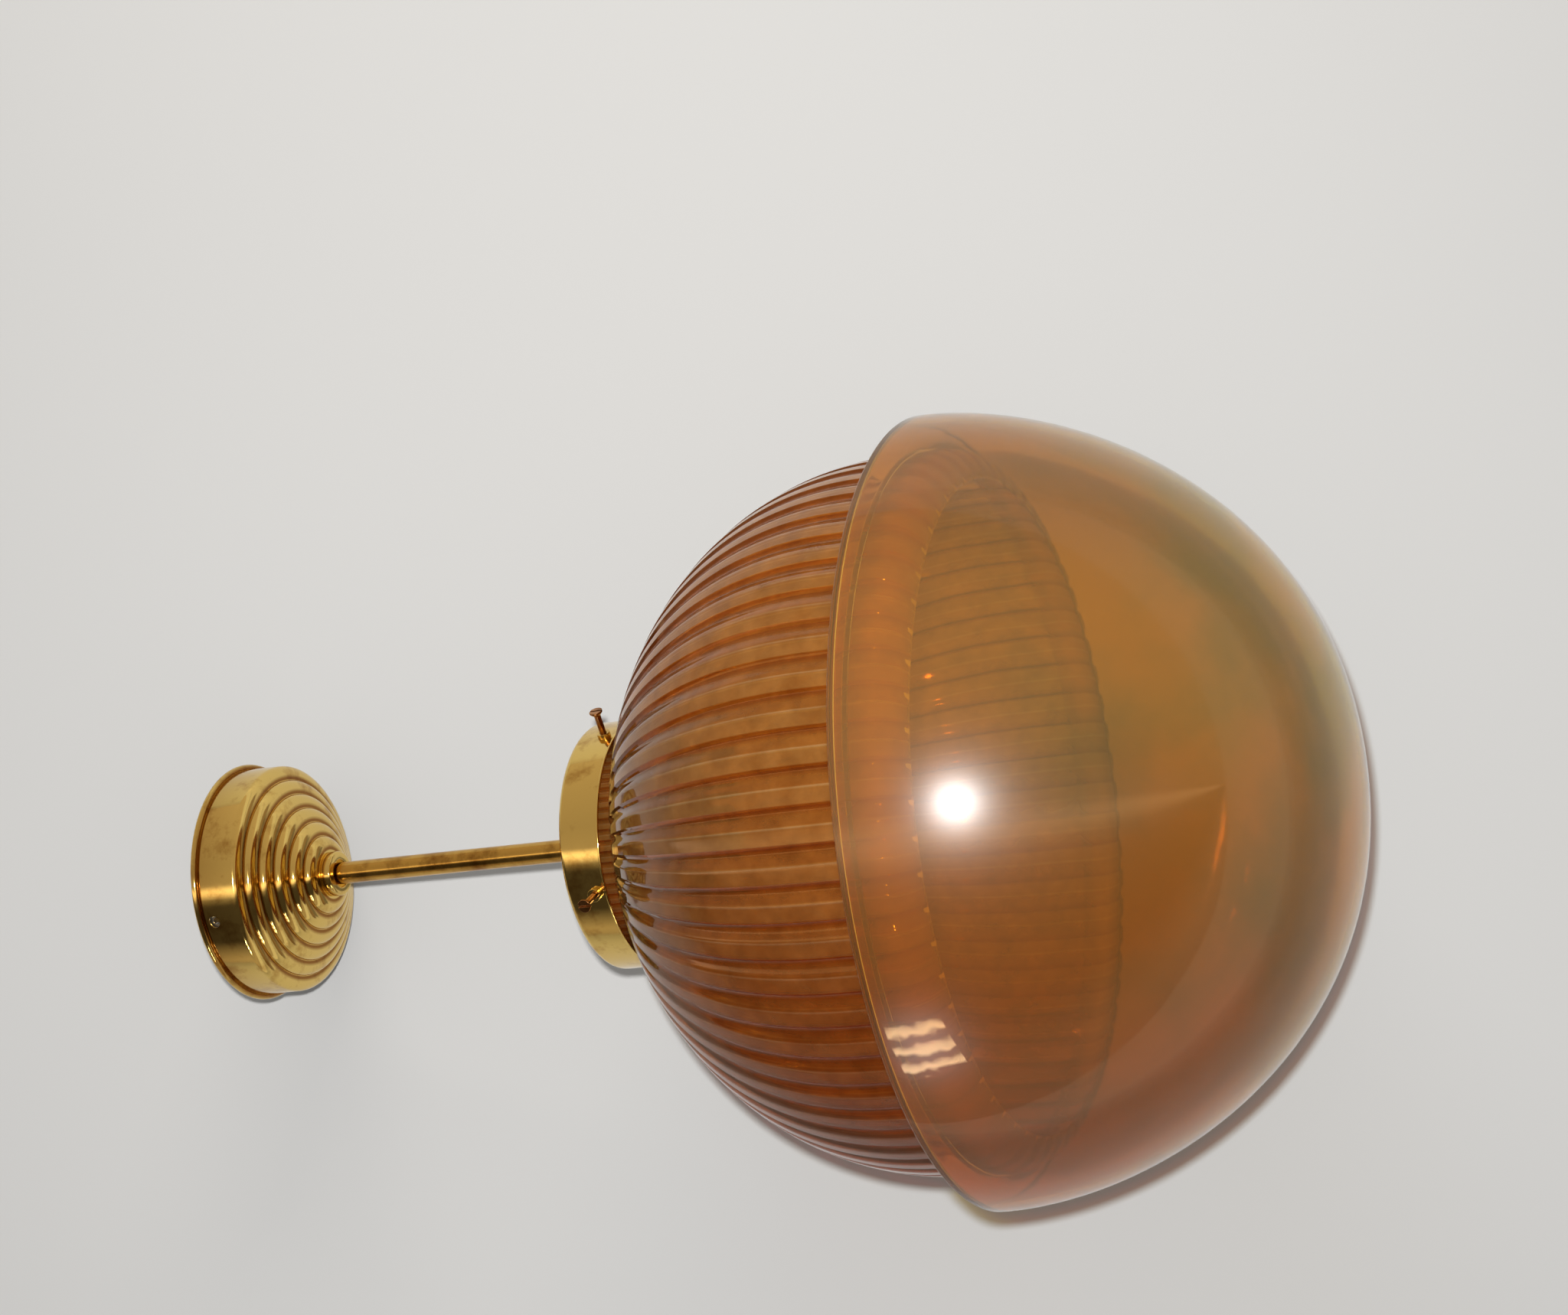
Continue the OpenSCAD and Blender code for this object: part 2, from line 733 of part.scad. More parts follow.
// The barrel's flange screws into the cap. Two hooked slots take the pins of the lamp.
module holder_barrel() {
    color("#c8a24a")
    along_strap()
    difference() {
        union() {
            translate([0, 0, barrel_low]) cylinder(r = barrel_r, h = barrel_top - barrel_low);
            translate([0, 0, cap_low]) cylinder(r = barrel_flange_r, h = barrel_flange_h);
            translate([0, 0, socket_top - barrel_shoulder_t])
                cylinder(r = barrel_shoulder_r, h = barrel_shoulder_t);
        }
        translate([0, 0, barrel_low - cut]) cylinder(r = socket_r, h = socket_len + 2 * cut);
        translate([0, 0, socket_top]) cylinder(r = socket_r + 0.35, h = barrel_top - socket_top + cut);
        for (s = [0, 180])
            rotate([0, 0, s]) {
                translate([-slot_w / 2, socket_r - 2, barrel_low - cut])
                    cube([slot_w, barrel_r - socket_r + 4, slot_up + cut]);
                translate([-slot_w / 2, socket_r - 2, barrel_low + slot_up - slot_w])
                    cube([slot_w / 2 + slot_side, barrel_r - socket_r + 4, slot_w]);
            }
    }
}

module shade_ring() {
    notch_r = 1.1;
    color("#c8a24a")
    difference() {
        tube(shade_ring_r, barrel_r + fit, ring_top - shade_ring_h, ring_top);
        for (i = [0:shade_ring_notches - 1])
            rotate([0, 0, 360 * i / shade_ring_notches])
                translate([shade_ring_r + notch_r * 0.35, 0, ring_top - shade_ring_h - cut])
                    cylinder(r = notch_r, h = shade_ring_h + 2 * cut, $fn = 24);
    }
}

// The globe is a stack of rings of points, down its outside and back up its inside. A ring has
// three points to a flute: both edges of its hollow, and the middle of the hollow.
flute_places = [0, flute_share / 2, flute_share];
flute_sunk = [0, 1, 0];
flute_steps = len(flute_places);
ring_points = flute_steps * flute_count;
outer_rings = concat([[neck_r, neck_top]], globe_side(0, 12));
inner_rings = concat(reversed(globe_side(glass_wall, 8)), [[neck_r - glass_wall, neck_top]]);
globe_rings = concat(outer_rings, inner_rings);

function depth_at(i) =
    i < len(outer_rings) ? flute_depth * min(1, (globe_rings[i][0] - neck_r) / flute_run) : 0;

// Direction out of the glass at ring i of the outside. The foot's edge is flat, so it is level there.
function outward(i) =
    i >= len(outer_rings) - 1 ? [1, 0] :
    let (d = heading(outer_rings, i)) [-d[1], d[0]];

function globe_point(i, k) =
    let (step = k % flute_steps,
         turn = 360 * (floor(k / flute_steps) + flute_places[step]) / flute_count,
         p = globe_rings[i] - outward(i) * depth_at(i) * flute_sunk[step])
    [p[0] * cos(turn), p[0] * sin(turn), p[1]];

module fluted_globe() {
    count = len(globe_rings);
    color("#a8642a")
    polyhedron([for (i = [0:count - 1], k = [0:ring_points - 1]) globe_point(i, k)],
               [for (i = [0:count - 1], k = [0:ring_points - 1])
                   let (a = i * ring_points + k, b = i * ring_points + (k + 1) % ring_points,
                        c = (i + 1) % count * ring_points + k,
                        d = (i + 1) % count * ring_points + (k + 1) % ring_points)
                       each [[a, b, c], [b, d, c]]]);
}

// The bowl's rim is turned in to the globe's belt
module bowl() {
    rim_round = 2.5;
    color("#c0924c")
    rotate_extrude($fn = 180)
        difference() {
            polygon(concat([[0, rim_z - bowl_depth], [0, rim_z]],
                           arc(bowl_r - rim_round, rim_z - rim_round, rim_round, rim_round, 90, 0, 6),
                           [for (p = bowl_side(0)) if (p[1] < rim_z - rim_round) p]));
            intersection() {
                polygon(concat([[0, rim_z]], bowl_side(glass_wall)));
                translate([0, rim_z - bowl_depth]) square([bowl_r, bowl_depth - glass_wall]);
            }
            translate([-cut, rim_z - glass_wall - cut]) square([seat_r + cut, glass_wall + 2 * cut]);
        }
}

// The cement fills the rim's seat and just clears the lands between the flutes
module cement_ring() {
    color("#e8e2d4") tube(seat_r, globe_r + fit, rim_z - glass_wall, rim_z);
}

rose_cup();
ceiling_bracket();
earth_screw();
terminal_block();
terminal_sleeves();
terminal_screws();
block_screw();
rose_washer();
earth_tag();
rose_nut();
stem_collar();
stem_tube();
line_wire();
neutral_wire();
earth_wire();
gallery_cup();
gallery_bosses();
gallery_screw_near();
gallery_screw_upper();
gallery_screw_rear();
gallery_washer();
gallery_nut();
holder_cap();
holder_insulator();
holder_terminals();
holder_terminal_screws();
plunger_line();
plunger_neutral();
spring_line();
spring_neutral();
holder_barrel();
shade_ring();
fluted_globe();
bowl();
cement_ring();
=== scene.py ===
"""Looks of the ceiling pendant light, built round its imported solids.

Lengths are in millimetres and are turned to metres once, where a mesh or a node is made. Stage sizes are in
metres.
"""

import math

import bmesh
import bpy
from mathutils import Matrix, Vector


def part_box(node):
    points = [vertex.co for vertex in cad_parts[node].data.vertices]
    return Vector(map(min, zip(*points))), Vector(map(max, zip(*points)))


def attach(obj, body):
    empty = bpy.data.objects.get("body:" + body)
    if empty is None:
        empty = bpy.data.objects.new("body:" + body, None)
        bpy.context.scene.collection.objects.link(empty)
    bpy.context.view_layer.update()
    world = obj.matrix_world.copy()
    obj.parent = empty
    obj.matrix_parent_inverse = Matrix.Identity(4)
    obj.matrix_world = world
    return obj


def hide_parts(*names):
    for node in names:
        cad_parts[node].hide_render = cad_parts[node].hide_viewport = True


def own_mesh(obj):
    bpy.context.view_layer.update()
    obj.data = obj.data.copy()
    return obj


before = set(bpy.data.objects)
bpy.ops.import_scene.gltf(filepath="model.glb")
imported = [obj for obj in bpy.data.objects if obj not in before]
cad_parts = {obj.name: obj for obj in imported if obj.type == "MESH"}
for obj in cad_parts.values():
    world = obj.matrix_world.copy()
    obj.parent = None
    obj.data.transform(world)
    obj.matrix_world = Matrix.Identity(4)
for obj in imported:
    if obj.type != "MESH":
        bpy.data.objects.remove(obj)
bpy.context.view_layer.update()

MM = 0.001
scene = bpy.context.scene
scene.view_settings.view_transform = "Standard"


def low(cad_node):
    """Lowest corner of a CAD node's box, in millimetres."""
    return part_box(cad_node)[0] / MM


def high(cad_node):
    """Highest corner of a CAD node's box, in millimetres."""
    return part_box(cad_node)[1] / MM


# Camera: the light lies on a sheet, seen from straight above, with its ceiling end to the left
CAMERA_PLACE = Vector((0, -1.1733, -0.7489))
CAMERA_AIM = Vector((0.07295, 0, -0.27364))
CAMERA_UP = Vector((0.99326, -0.01519, -0.11488))
FOCAL_PX = 3853.25
IMAGE_WIDTH_PX = 2048
SENSOR_MM = 36


def axes_facing(place, aim, up_hint):
    """Rotation whose -Z looks from place to aim, with up_hint up."""
    forward = (aim - place).normalized()
    right = forward.cross(up_hint).normalized()
    return Matrix((right, right.cross(forward), -forward)).transposed().to_4x4()


def put(data, name, place, aim, up_hint):
    """Links an object that looks from place to aim."""
    made = bpy.data.objects.new(name, data)
    scene.collection.objects.link(made)
    made.matrix_world = axes_facing(place, aim, up_hint)
    made.location = place
    return made


def make_camera():
    data = bpy.data.cameras.new("camera")
    data.sensor_width = SENSOR_MM
    data.lens = FOCAL_PX / IMAGE_WIDTH_PX * SENSOR_MM
    data.clip_start = 0.05
    scene.camera = put(data, "camera", CAMERA_PLACE, CAMERA_AIM, CAMERA_UP)


make_camera()


# Sizes that several pieces and materials share

# Rose: stepped rings, a rolled bead at the ceiling, and two holes in its side
RINGS, RING_PITCH, RING_DROP, RING_ROUND = 6, 6.8, 3.6, 5.3
BEAD_R, BEAD_OUT = 1.5, 1.0
SIDE_HOLE_R, SIDE_HOLE_DROP, SIDE_HOLE_TURN = 2.75, 7.9, 252
SHEET_T = 0.9
rose_r = high("rose_cup").x - BEAD_R - BEAD_OUT
face_low = low("rose_cup").z
face_top = face_low + RINGS * RING_DROP
stem_r = high("stem_tube").x

# Gallery, whose lower edge is rolled
LIP_BEAD = 0.55
gallery_r = high("gallery_cup").x - LIP_BEAD
gallery_top, lip_low = high("gallery_cup").z, low("gallery_cup").z

# Glass. The neck stands clear of the gallery by NECK_GAP. The globe's belt, its widest stretch, reaches from
# BELT_Z down by BELT_H. Above it the side is part of a quarter ellipse that is GLOBE_H high, and below it the
# side turns in by FOOT_TURN degrees round a middle at FOOT_R
GLASS_WALL = 3.5
NECK_GAP = 6.2
GLOBE_H, BELT_Z, BELT_H, FOOT_R, FOOT_TURN = 136, -337, 23, 134, 70
CEMENT_T = 0.8
globe_r = high("fluted_globe").x
neck_r = gallery_r - NECK_GAP
neck_top, foot_z = high("fluted_globe").z, low("fluted_globe").z
bowl_r, rim_z = high("bowl").x, high("bowl").z
bowl_depth = rim_z - low("bowl").z
seat_r = globe_r + CEMENT_T

# Flutes: HOLLOW is the share of a flute's width that is hollow, in whole mesh columns. A hollow is deepest
# where its share to the power FLUTE_SKEW is a half, so one of its sides is steeper. The hollows fade out over
# FLUTE_RUN towards the neck
FLUTES, FLUTE_STEPS, HOLLOW_STEPS = 64, 12, 7
HOLLOW = HOLLOW_STEPS / FLUTE_STEPS
FLUTE_DEPTH, FLUTE_RUN, FLUTE_SKEW = 1.5, 10, 1.7
NECK_H = 40


# Nodes

MATH, RAMP, MIX = "ShaderNodeMath", "ShaderNodeValToRGB", "ShaderNodeMix"
NOISE, BUMP, PARTS = "ShaderNodeTexNoise", "ShaderNodeBump", "ShaderNodeSeparateXYZ"
SURFACE, COORDINATES = "ShaderNodeBsdfPrincipled", "ShaderNodeTexCoord"
MATERIAL_END = "ShaderNodeOutputMaterial"
# Settings and inputs of a mix of two colours; A, B and RESULT are its colour sockets
BLENDED = {"data_type": "RGBA"}
MULTIPLIED = {"data_type": "RGBA", "blend_type": "MULTIPLY"}
A, B, RESULT = 6, 7, 2


def add(tree, kind, inputs=(), stops=(), **settings):
    """Adds a node and returns it. Its inputs, by place or by name, are plain values, output sockets, or nodes
    whose first output is linked. Stops are the (position, colour) pairs of a colour ramp."""
    made = tree.nodes.new(kind)
    for name, value in settings.items():
        setattr(made, name, value)
    for socket, value in (inputs.items() if isinstance(inputs, dict) else enumerate(inputs)):
        source = value.outputs[0] if isinstance(value, bpy.types.Node) else value
        if isinstance(source, bpy.types.NodeSocket):
            tree.links.new(source, made.inputs[socket])
        else:
            made.inputs[socket].default_value = source
    if stops:
        bands = made.color_ramp.elements
        while len(bands) < len(stops):
            bands.new(0.5)
        for band, (position, shade) in zip(bands, stops):
            band.position, band.color = position, shade
    return made


def colour(code):
    """Linear colour with alpha 1, from an sRGB hex code."""
    shares = [int(code[i:i + 2], 16) / 255 for i in (1, 3, 5)]
    return [s / 12.92 if s <= 0.04045 else ((s + 0.055) / 1.055) ** 2.4 for s in shares] + [1]


def grey(share):
    """Linear grey. White multiplies a colour by 1."""
    return (share, share, share, 1)


WHITE = grey(1)


def per(size_mm):
    """Noise scale that gives blotches about this many millimetres across."""
    return 1 / (size_mm * MM)


def new_material(name):
    """An empty material, its node tree and the place on the object."""
    material = bpy.data.materials.new(name)
    material.use_nodes = True
    tree = material.node_tree
    tree.nodes.clear()
    return material, tree, add(tree, COORDINATES).outputs["Object"]


def from_axis(tree, parts):
    """Distance from the Z axis of a place that is split into its parts."""
    across = add(tree, MATH, [parts[0], parts[0]], operation="MULTIPLY")
    squared = add(tree, MATH, [parts[1], parts[1], across], operation="MULTIPLY_ADD")
    return add(tree, MATH, [squared], operation="SQRT")


def round_marks(tree, place, pitch_mm):
    """Noise that only changes with height and with distance from the Z axis: turning or spinning marks."""
    parts = add(tree, PARTS, [place]).outputs
    flat = add(tree, "ShaderNodeCombineXYZ", [from_axis(tree, parts), parts[2]])
    return add(tree, NOISE, {"Vector": flat, "Scale": per(pitch_mm), "Detail": 2})


def hollow_share(tree, parts, count):
    """How far round its flute a place is: from 0 to HOLLOW in the hollow, and from there to 1 on the land."""
    turn = add(tree, MATH, [parts[1], parts[0]], operation="ARCTAN2")
    per_turn = add(tree, MATH, [count, 2 * math.pi], operation="DIVIDE")
    flutes_round = add(tree, MATH, [turn, per_turn], operation="MULTIPLY")
    return add(tree, MATH, [flutes_round], operation="FRACT")


# Metal

def ring_grooves(tree, place):
    """The polishing mop doesn't reach the grooves between the rose's rings, which stay brown."""
    in_groove = colour("#a8845a")
    radius = from_axis(tree, add(tree, PARTS, [place]).outputs)
    inward = add(tree, MATH, [rose_r * MM, radius], operation="SUBTRACT")
    pitches = add(tree, MATH, [inward, RING_PITCH * MM], operation="DIVIDE")
    return add(tree, RAMP, [add(tree, MATH, [pitches], operation="FRACT")],
               stops=[(0.6, WHITE), (0.82, in_groove), (0.94, in_groove), (1.0, WHITE)])


def brass(name, bright, stained, stain_share, roughness, marks_mm, tarnished_grooves=False):
    """Brass sheet or rod, polished after spinning or turning: yellow mirror with fine rings and brown stains.
    Tarnished brass is dark and dull instead. The rings are drawn coarser than real tool marks, so that they
    show."""
    soft_edge = 0.12
    material, tree, place = new_material(name)
    blotch = add(tree, NOISE, {"Vector": place, "Scale": per(14), "Detail": 6, "Roughness": 0.65})
    tone = add(tree, RAMP, [blotch], stops=[(1 - stain_share - soft_edge, colour(bright)),
                                            (1 - stain_share + soft_edge, colour(stained))])
    if tarnished_grooves:
        tone = add(tree, MIX, {"Factor": 1, A: tone, B: ring_grooves(tree, place)},
                   **MULTIPLIED).outputs[RESULT]
    wipe = add(tree, NOISE, {"Vector": place, "Scale": per(5), "Detail": 4})
    dull = add(tree, RAMP, [wipe], stops=[(0.3, grey(roughness * 0.7)), (0.75, grey(roughness * 1.6))])
    rings = add(tree, BUMP, {"Strength": 0.25, "Distance": 0.02 * MM,
                             "Height": round_marks(tree, place, marks_mm)})
    dents = add(tree, NOISE, {"Vector": place, "Scale": per(9), "Detail": 1})
    relief = add(tree, BUMP, {"Strength": 0.5, "Distance": 0.05 * MM, "Height": dents, "Normal": rings})
    shader = add(tree, SURFACE, {"Base Color": tone, "Metallic": 1, "Roughness": dull, "Normal": relief})
    add(tree, MATERIAL_END, {"Surface": shader})
    return material


def plated_steel(name, bright, roughness):
    """Barrel-plated or drawn steel: pale bluish grey, slightly cloudy."""
    material, tree, place = new_material(name)
    cloud = add(tree, NOISE, {"Vector": place, "Scale": per(3), "Detail": 5})
    tone = add(tree, RAMP, [cloud], stops=[(0.3, colour(bright)), (0.8, colour("#9a9c98"))])
    dull = add(tree, RAMP, [cloud], stops=[(0.3, grey(roughness)), (0.8, grey(roughness * 1.5))])
    shader = add(tree, SURFACE, {"Base Color": tone, "Metallic": 1, "Roughness": dull})
    add(tree, MATERIAL_END, {"Surface": shader})
    return material


# Porcelain, wire and cement

def glazed_porcelain():
    """Pressed and glazed porcelain: warm white, shiny, with faint waviness in the glaze."""
    material, tree, place = new_material("glazed_porcelain")
    cloud = add(tree, NOISE, {"Vector": place, "Scale": per(6), "Detail": 4})
    tone = add(tree, RAMP, [cloud], stops=[(0.3, colour("#efe9da")), (0.8, colour("#ddd4c0"))])
    wave = add(tree, NOISE, {"Vector": place, "Scale": per(2), "Detail": 3})
    glaze = add(tree, BUMP, {"Strength": 0.4, "Distance": 0.05 * MM, "Height": wave})
    shader = add(tree, SURFACE, {"Base Color": tone, "Roughness": 0.14, "IOR": 1.5, "Normal": glaze})
    add(tree, MATERIAL_END, {"Surface": shader})
    return material


def wire_sleeve(name, shade, second_shade):
    """PVC wire sleeve, extruded: soft sheen, with soft blotches of a second shade. That is dirt on the brown
    and blue wires, and the yellow of the earth wire."""
    material, tree, place = new_material(name)
    blotch = add(tree, NOISE, {"Vector": place, "Scale": per(4), "Detail": 4})
    tone = add(tree, RAMP, [blotch], stops=[(0.35, colour(shade)), (0.85, colour(second_shade))])
    shader = add(tree, SURFACE, {"Base Color": tone, "Roughness": 0.42, "IOR": 1.53})
    add(tree, MATERIAL_END, {"Surface": shader})
    return material


def clear_cement():
    """Glass cement: thin clear resin, slightly and unevenly yellowed."""
    material, tree, place = new_material("glass_cement")
    cloud = add(tree, NOISE, {"Vector": place, "Scale": per(1.5), "Detail": 3})
    tone = add(tree, RAMP, [cloud], stops=[(0.3, colour("#fbf3e0")), (0.8, colour("#f0dfba"))])
    shader = add(tree, SURFACE, {"Base Color": tone, "Roughness": 0.04, "IOR": 1.5,
                                 "Transmission Weight": 0.97})
    add(tree, MATERIAL_END, {"Surface": shader})
    return material


# Glass

# Name of the mesh attribute that is 1 on the outside of a glass and 0 elsewhere
OUTSIDE = "outside"
# What one wall lets through, in linear shares of red, green and blue
FLUTED_SHARES, PLAIN_SHARES = (0.96, 0.78, 0.50), (0.98, 0.89, 0.52)
# The lustre's colours. The steep colour is painted shade on the flutes' steep sides and the crest colour a
# painted highlight on their crests; the foot colour is painted light on the globe's foot; the dense and pale
# colours are painted shade along X
FLUTE_LAND, FLUTE_HOLLOW, FLUTE_STEEP_PAINTED_SHADE, FLUTE_CREST_PAINTED_HIGHLIGHT = "#e2b468", "#e5b05c", "#cc7f3c", "#f0d49a"
FLUTE_FOOT_PAINTED_LIGHT, FLUTE_WORN, FLUTE_PAINTED_SHADE_X = "#ffca74", "#cfc2b2", "#d08a68"
BOWL_GOLD, BOWL_OLIVE, BOWL_RIM, BOWL_PAINTED_SHADE_X, BOWL_PAINTED_SHADE_EDGE = "#f4cc74", "#d2c47c", "#fac870", "#e2b484", "#ddd2a8"
# The lustre is a thin metal film, which mirrors with a golden tint
LUSTRE_MIRROR = "#ffcf8a"
# What a face lets through to what is behind it, where light meets it squarely and where it only grazes it
SHADOW_TINT, EDGE_SHADOW_TINT = (0.78, 0.75, 0.68, 1), (0.5, 0.46, 0.38, 1)


def absorbing(shares):
    """Colour and density of a volume that lets these shares through a wall. The density is a little above the
    highest rate, so that no colour is quite 0."""
    rates = [-math.log(share) / (GLASS_WALL * MM) for share in shares]
    density = max(rates) * 1.02
    return [1 - rate / density for rate in rates] + [1], density


def glass_shader(tree, place, tone, clear_share, roughness, shine, ripple_mm, ripple_depth_mm, shares,
                 film=0.0):
    """Glass whose lustre scatters what it doesn't let through, and which ripples a little. Lamps light what
    is behind it, dimmed, and less through its edges, which bend the light away."""
    wave = add(tree, NOISE, {"Vector": place, "Scale": per(ripple_mm), "Detail": 2})
    ripple = add(tree, BUMP, {"Strength": 1, "Distance": ripple_depth_mm * MM, "Height": wave})
    shader = add(tree, SURFACE, {"Base Color": tone, "IOR": 1.52, "Transmission Weight": clear_share,
                                 "Roughness": roughness, "Specular IOR Level": shine,
                                 "Specular Tint": colour(LUSTRE_MIRROR),
                                 "Coat Weight": film, "Coat Roughness": 0.27, "Normal": ripple})
    slant = add(tree, "ShaderNodeLayerWeight", {"Blend": 0.5}).outputs["Facing"]
    dimmed = add(tree, RAMP, [slant], stops=[(0.45, SHADOW_TINT), (0.85, EDGE_SHADOW_TINT)])
    clear = add(tree, "ShaderNodeBsdfTransparent", {"Color": dimmed})
    to_lamp = add(tree, "ShaderNodeLightPath").outputs["Is Shadow Ray"]
    mixed = add(tree, "ShaderNodeMixShader", [to_lamp, shader, clear])
    shade, density = absorbing(shares)
    body = add(tree, "ShaderNodeVolumeAbsorption", {"Color": shade, "Density": density})
    add(tree, MATERIAL_END, {"Surface": mixed, "Volume": body})


def fluted_glass():
    """Pressed soda-lime glass with an amber lustre, paler and hazy on the lands and worn in spots. Painted
    shade makes the steep sides of the hollows red-brown, a painted highlight lies on each crest, painted
    shade makes the glass darker and redder towards -X, and painted light makes the foot, inside the bowl,
    lighter and hazier."""
    fade_h = 12
    material, tree, place = new_material("pressed_fluted_amber_glass")
    parts = add(tree, PARTS, [place]).outputs
    share = hollow_share(tree, parts, FLUTES)
    # Painted shade and highlight: each flute's band colours paint shade on the steep side of its hollow and a
    # highlight on its crest
    bands = add(tree, RAMP, [share],
                stops=[(0.0, colour(FLUTE_CREST_PAINTED_HIGHLIGHT)), (0.05, colour(FLUTE_HOLLOW)),
                       (HOLLOW * 0.5, colour(FLUTE_HOLLOW)), (HOLLOW - 0.03, colour(FLUTE_STEEP_PAINTED_SHADE)),
                       (HOLLOW, colour(FLUTE_LAND)), (0.96, colour(FLUTE_LAND)), (1.0, colour(FLUTE_CREST_PAINTED_HIGHLIGHT))])
    spots = add(tree, NOISE, {"Vector": place, "Scale": per(9), "Detail": 6, "Roughness": 0.6})
    wear = add(tree, RAMP, [spots], stops=[(0.35, WHITE), (0.75, colour(FLUTE_WORN))])
    worn = add(tree, MIX, {"Factor": 1, A: bands, B: wear}, **MULTIPLIED).outputs[RESULT]
    # Painted shade along X: the glass turns darker and redder towards -X
    across = add(tree, MATH, [parts[0], 0.5 / (globe_r * MM), 0.5], operation="MULTIPLY_ADD")
    painted_shade_along_x = add(tree, RAMP, [across], stops=[(0.0, colour(FLUTE_PAINTED_SHADE_X)), (0.6, WHITE)])
    with_painted_shade_along_x = add(tree, MIX, {"Factor": 1, A: worn, B: painted_shade_along_x}, **MULTIPLIED).outputs[RESULT]
    # Painted light on the globe's foot below the bowl's rim: a lighter colour, and more haze further down,
    # brighten it
    foot = add(tree, "ShaderNodeMapRange", {"Value": parts[2], "From Min": rim_z * MM,
                                            "From Max": (rim_z - fade_h) * MM})
    foot_painted_light_share = add(tree, MATH, [foot, 0.4], operation="MULTIPLY")
    tone = add(tree, MIX, {"Factor": foot_painted_light_share, A: with_painted_shade_along_x, B: colour(FLUTE_FOOT_PAINTED_LIGHT)}, **BLENDED).outputs[RESULT]

    # The clear share follows the same bands, lowest under the crest's painted highlight and highest under the
    # steep side's painted shade
    clear_bands_with_painted_light = add(tree, RAMP, [share], stops=[(0.0, grey(0.75)), (0.05, grey(0.88)),
                                             (HOLLOW - 0.03, grey(0.94)), (HOLLOW, grey(0.84))])
    outside = add(tree, "ShaderNodeAttribute", attribute_name=OUTSIDE).outputs["Fac"]
    inside_haze = add(tree, MATH, [outside, 0.3, 0.7], operation="MULTIPLY_ADD")
    # More haze on the foot, part of its painted light
    foot_haze = add(tree, MATH, [foot, -0.14, 1], operation="MULTIPLY_ADD")
    haze = add(tree, MATH, [inside_haze, foot_haze], operation="MULTIPLY")
    clear = add(tree, MATH, [clear_bands_with_painted_light, haze], operation="MULTIPLY")
    glass_shader(tree, place, tone, clear, roughness=0.05, shine=0.35, ripple_mm=8, ripple_depth_mm=0.04,
                 shares=FLUTED_SHARES)
    return material


def plain_glass():
    """Blown soda-lime glass with an amber lustre that clouded unevenly: golden, with soft olive patches.
    Painted shade makes it darker and redder towards -X and dims it less, to a paler tone, at its +X edge. Its
    outside has a worn film that spreads a lamp's mirror image into a wide glow."""
    material, tree, place = new_material("blown_plain_amber_glass")
    outside = add(tree, "ShaderNodeAttribute", attribute_name=OUTSIDE).outputs["Fac"]
    from_within = add(tree, "ShaderNodeNewGeometry").outputs["Backfacing"]
    from_outside = add(tree, MATH, [1, from_within], operation="SUBTRACT")
    filmed = add(tree, MATH, [outside, from_outside], operation="MULTIPLY")
    slant = add(tree, "ShaderNodeLayerWeight", {"Blend": 0.5}).outputs["Facing"]
    spread = add(tree, RAMP, [slant], stops=[(0.1, grey(0.9)), (0.6, grey(0.1))])
    film = add(tree, MATH, [filmed, spread], operation="MULTIPLY")

    parts = add(tree, PARTS, [place]).outputs
    below_rim = add(tree, MATH, [rim_z * MM, parts[2]], operation="SUBTRACT")
    down = add(tree, MATH, [below_rim, bowl_depth * MM], operation="DIVIDE")
    cloud = add(tree, NOISE, {"Vector": place, "Scale": per(75), "Detail": 4, "Roughness": 0.45})
    patches = add(tree, RAMP, [cloud], stops=[(0.42, colour(BOWL_GOLD)), (0.6, colour(BOWL_OLIVE))])
    off_rim = add(tree, RAMP, [down], stops=[(0.15, grey(0)), (0.5, WHITE)])
    clouded = add(tree, MIX, {"Factor": off_rim, A: colour(BOWL_RIM), B: patches}, **BLENDED).outputs[RESULT]
    # Painted shade along X: darker and redder towards -X, and dimmed less, to a paler tone, at the +X edge
    across = add(tree, MATH, [parts[0], 0.5 / (bowl_r * MM), 0.5], operation="MULTIPLY_ADD")
    painted_shade_along_x = add(tree, RAMP, [across], stops=[(0.0, colour(BOWL_PAINTED_SHADE_X)), (0.6, WHITE), (0.76, WHITE),
                                             (1.0, colour(BOWL_PAINTED_SHADE_EDGE))])
    tone = add(tree, MIX, {"Factor": 1, A: clouded, B: painted_shade_along_x}, **MULTIPLIED).outputs[RESULT]
    clear = add(tree, RAMP, [down], stops=[(0.0, grey(0.92)), (0.6, grey(0.93))])
    glass_shader(tree, place, tone, clear, roughness=0.03, shine=0.45, ripple_mm=45, ripple_depth_mm=0.15,
                 shares=PLAIN_SHARES, film=film)
    return material


# Brass: bright and stained colour, share that is stained, roughness, and pitch of the marks in mm
POLISHED_BRASS = brass("polished_spun_brass", "#e3c06c", "#a8742e", 0.36, 0.09, 0.5)
ROSE_BRASS = brass("polished_ringed_brass", "#e3c06c", "#a8742e", 0.36, 0.08, 0.5, tarnished_grooves=True)
TUBE_BRASS = brass("drawn_brass_tube", "#cda04e", "#8e5f24", 0.42, 0.16, 0.8)
SCREW_BRASS = brass("turned_screw_brass", "#c98f5a", "#7a4a20", 0.45, 0.2, 0.3)
HOLDER_BRASS = brass("tarnished_holder_brass", "#5c583c", "#353220", 0.4, 0.4, 0.4)
ZINC_STEEL = plated_steel("zinc_plated_steel", "#c9ccca", 0.28)
SPRING_STEEL = plated_steel("spring_steel_wire", "#d6d8d6", 0.2)
PORCELAIN = glazed_porcelain()
BROWN_WIRE = wire_sleeve("brown_wire_sleeve", "#6e3a1c", "#4a2612")
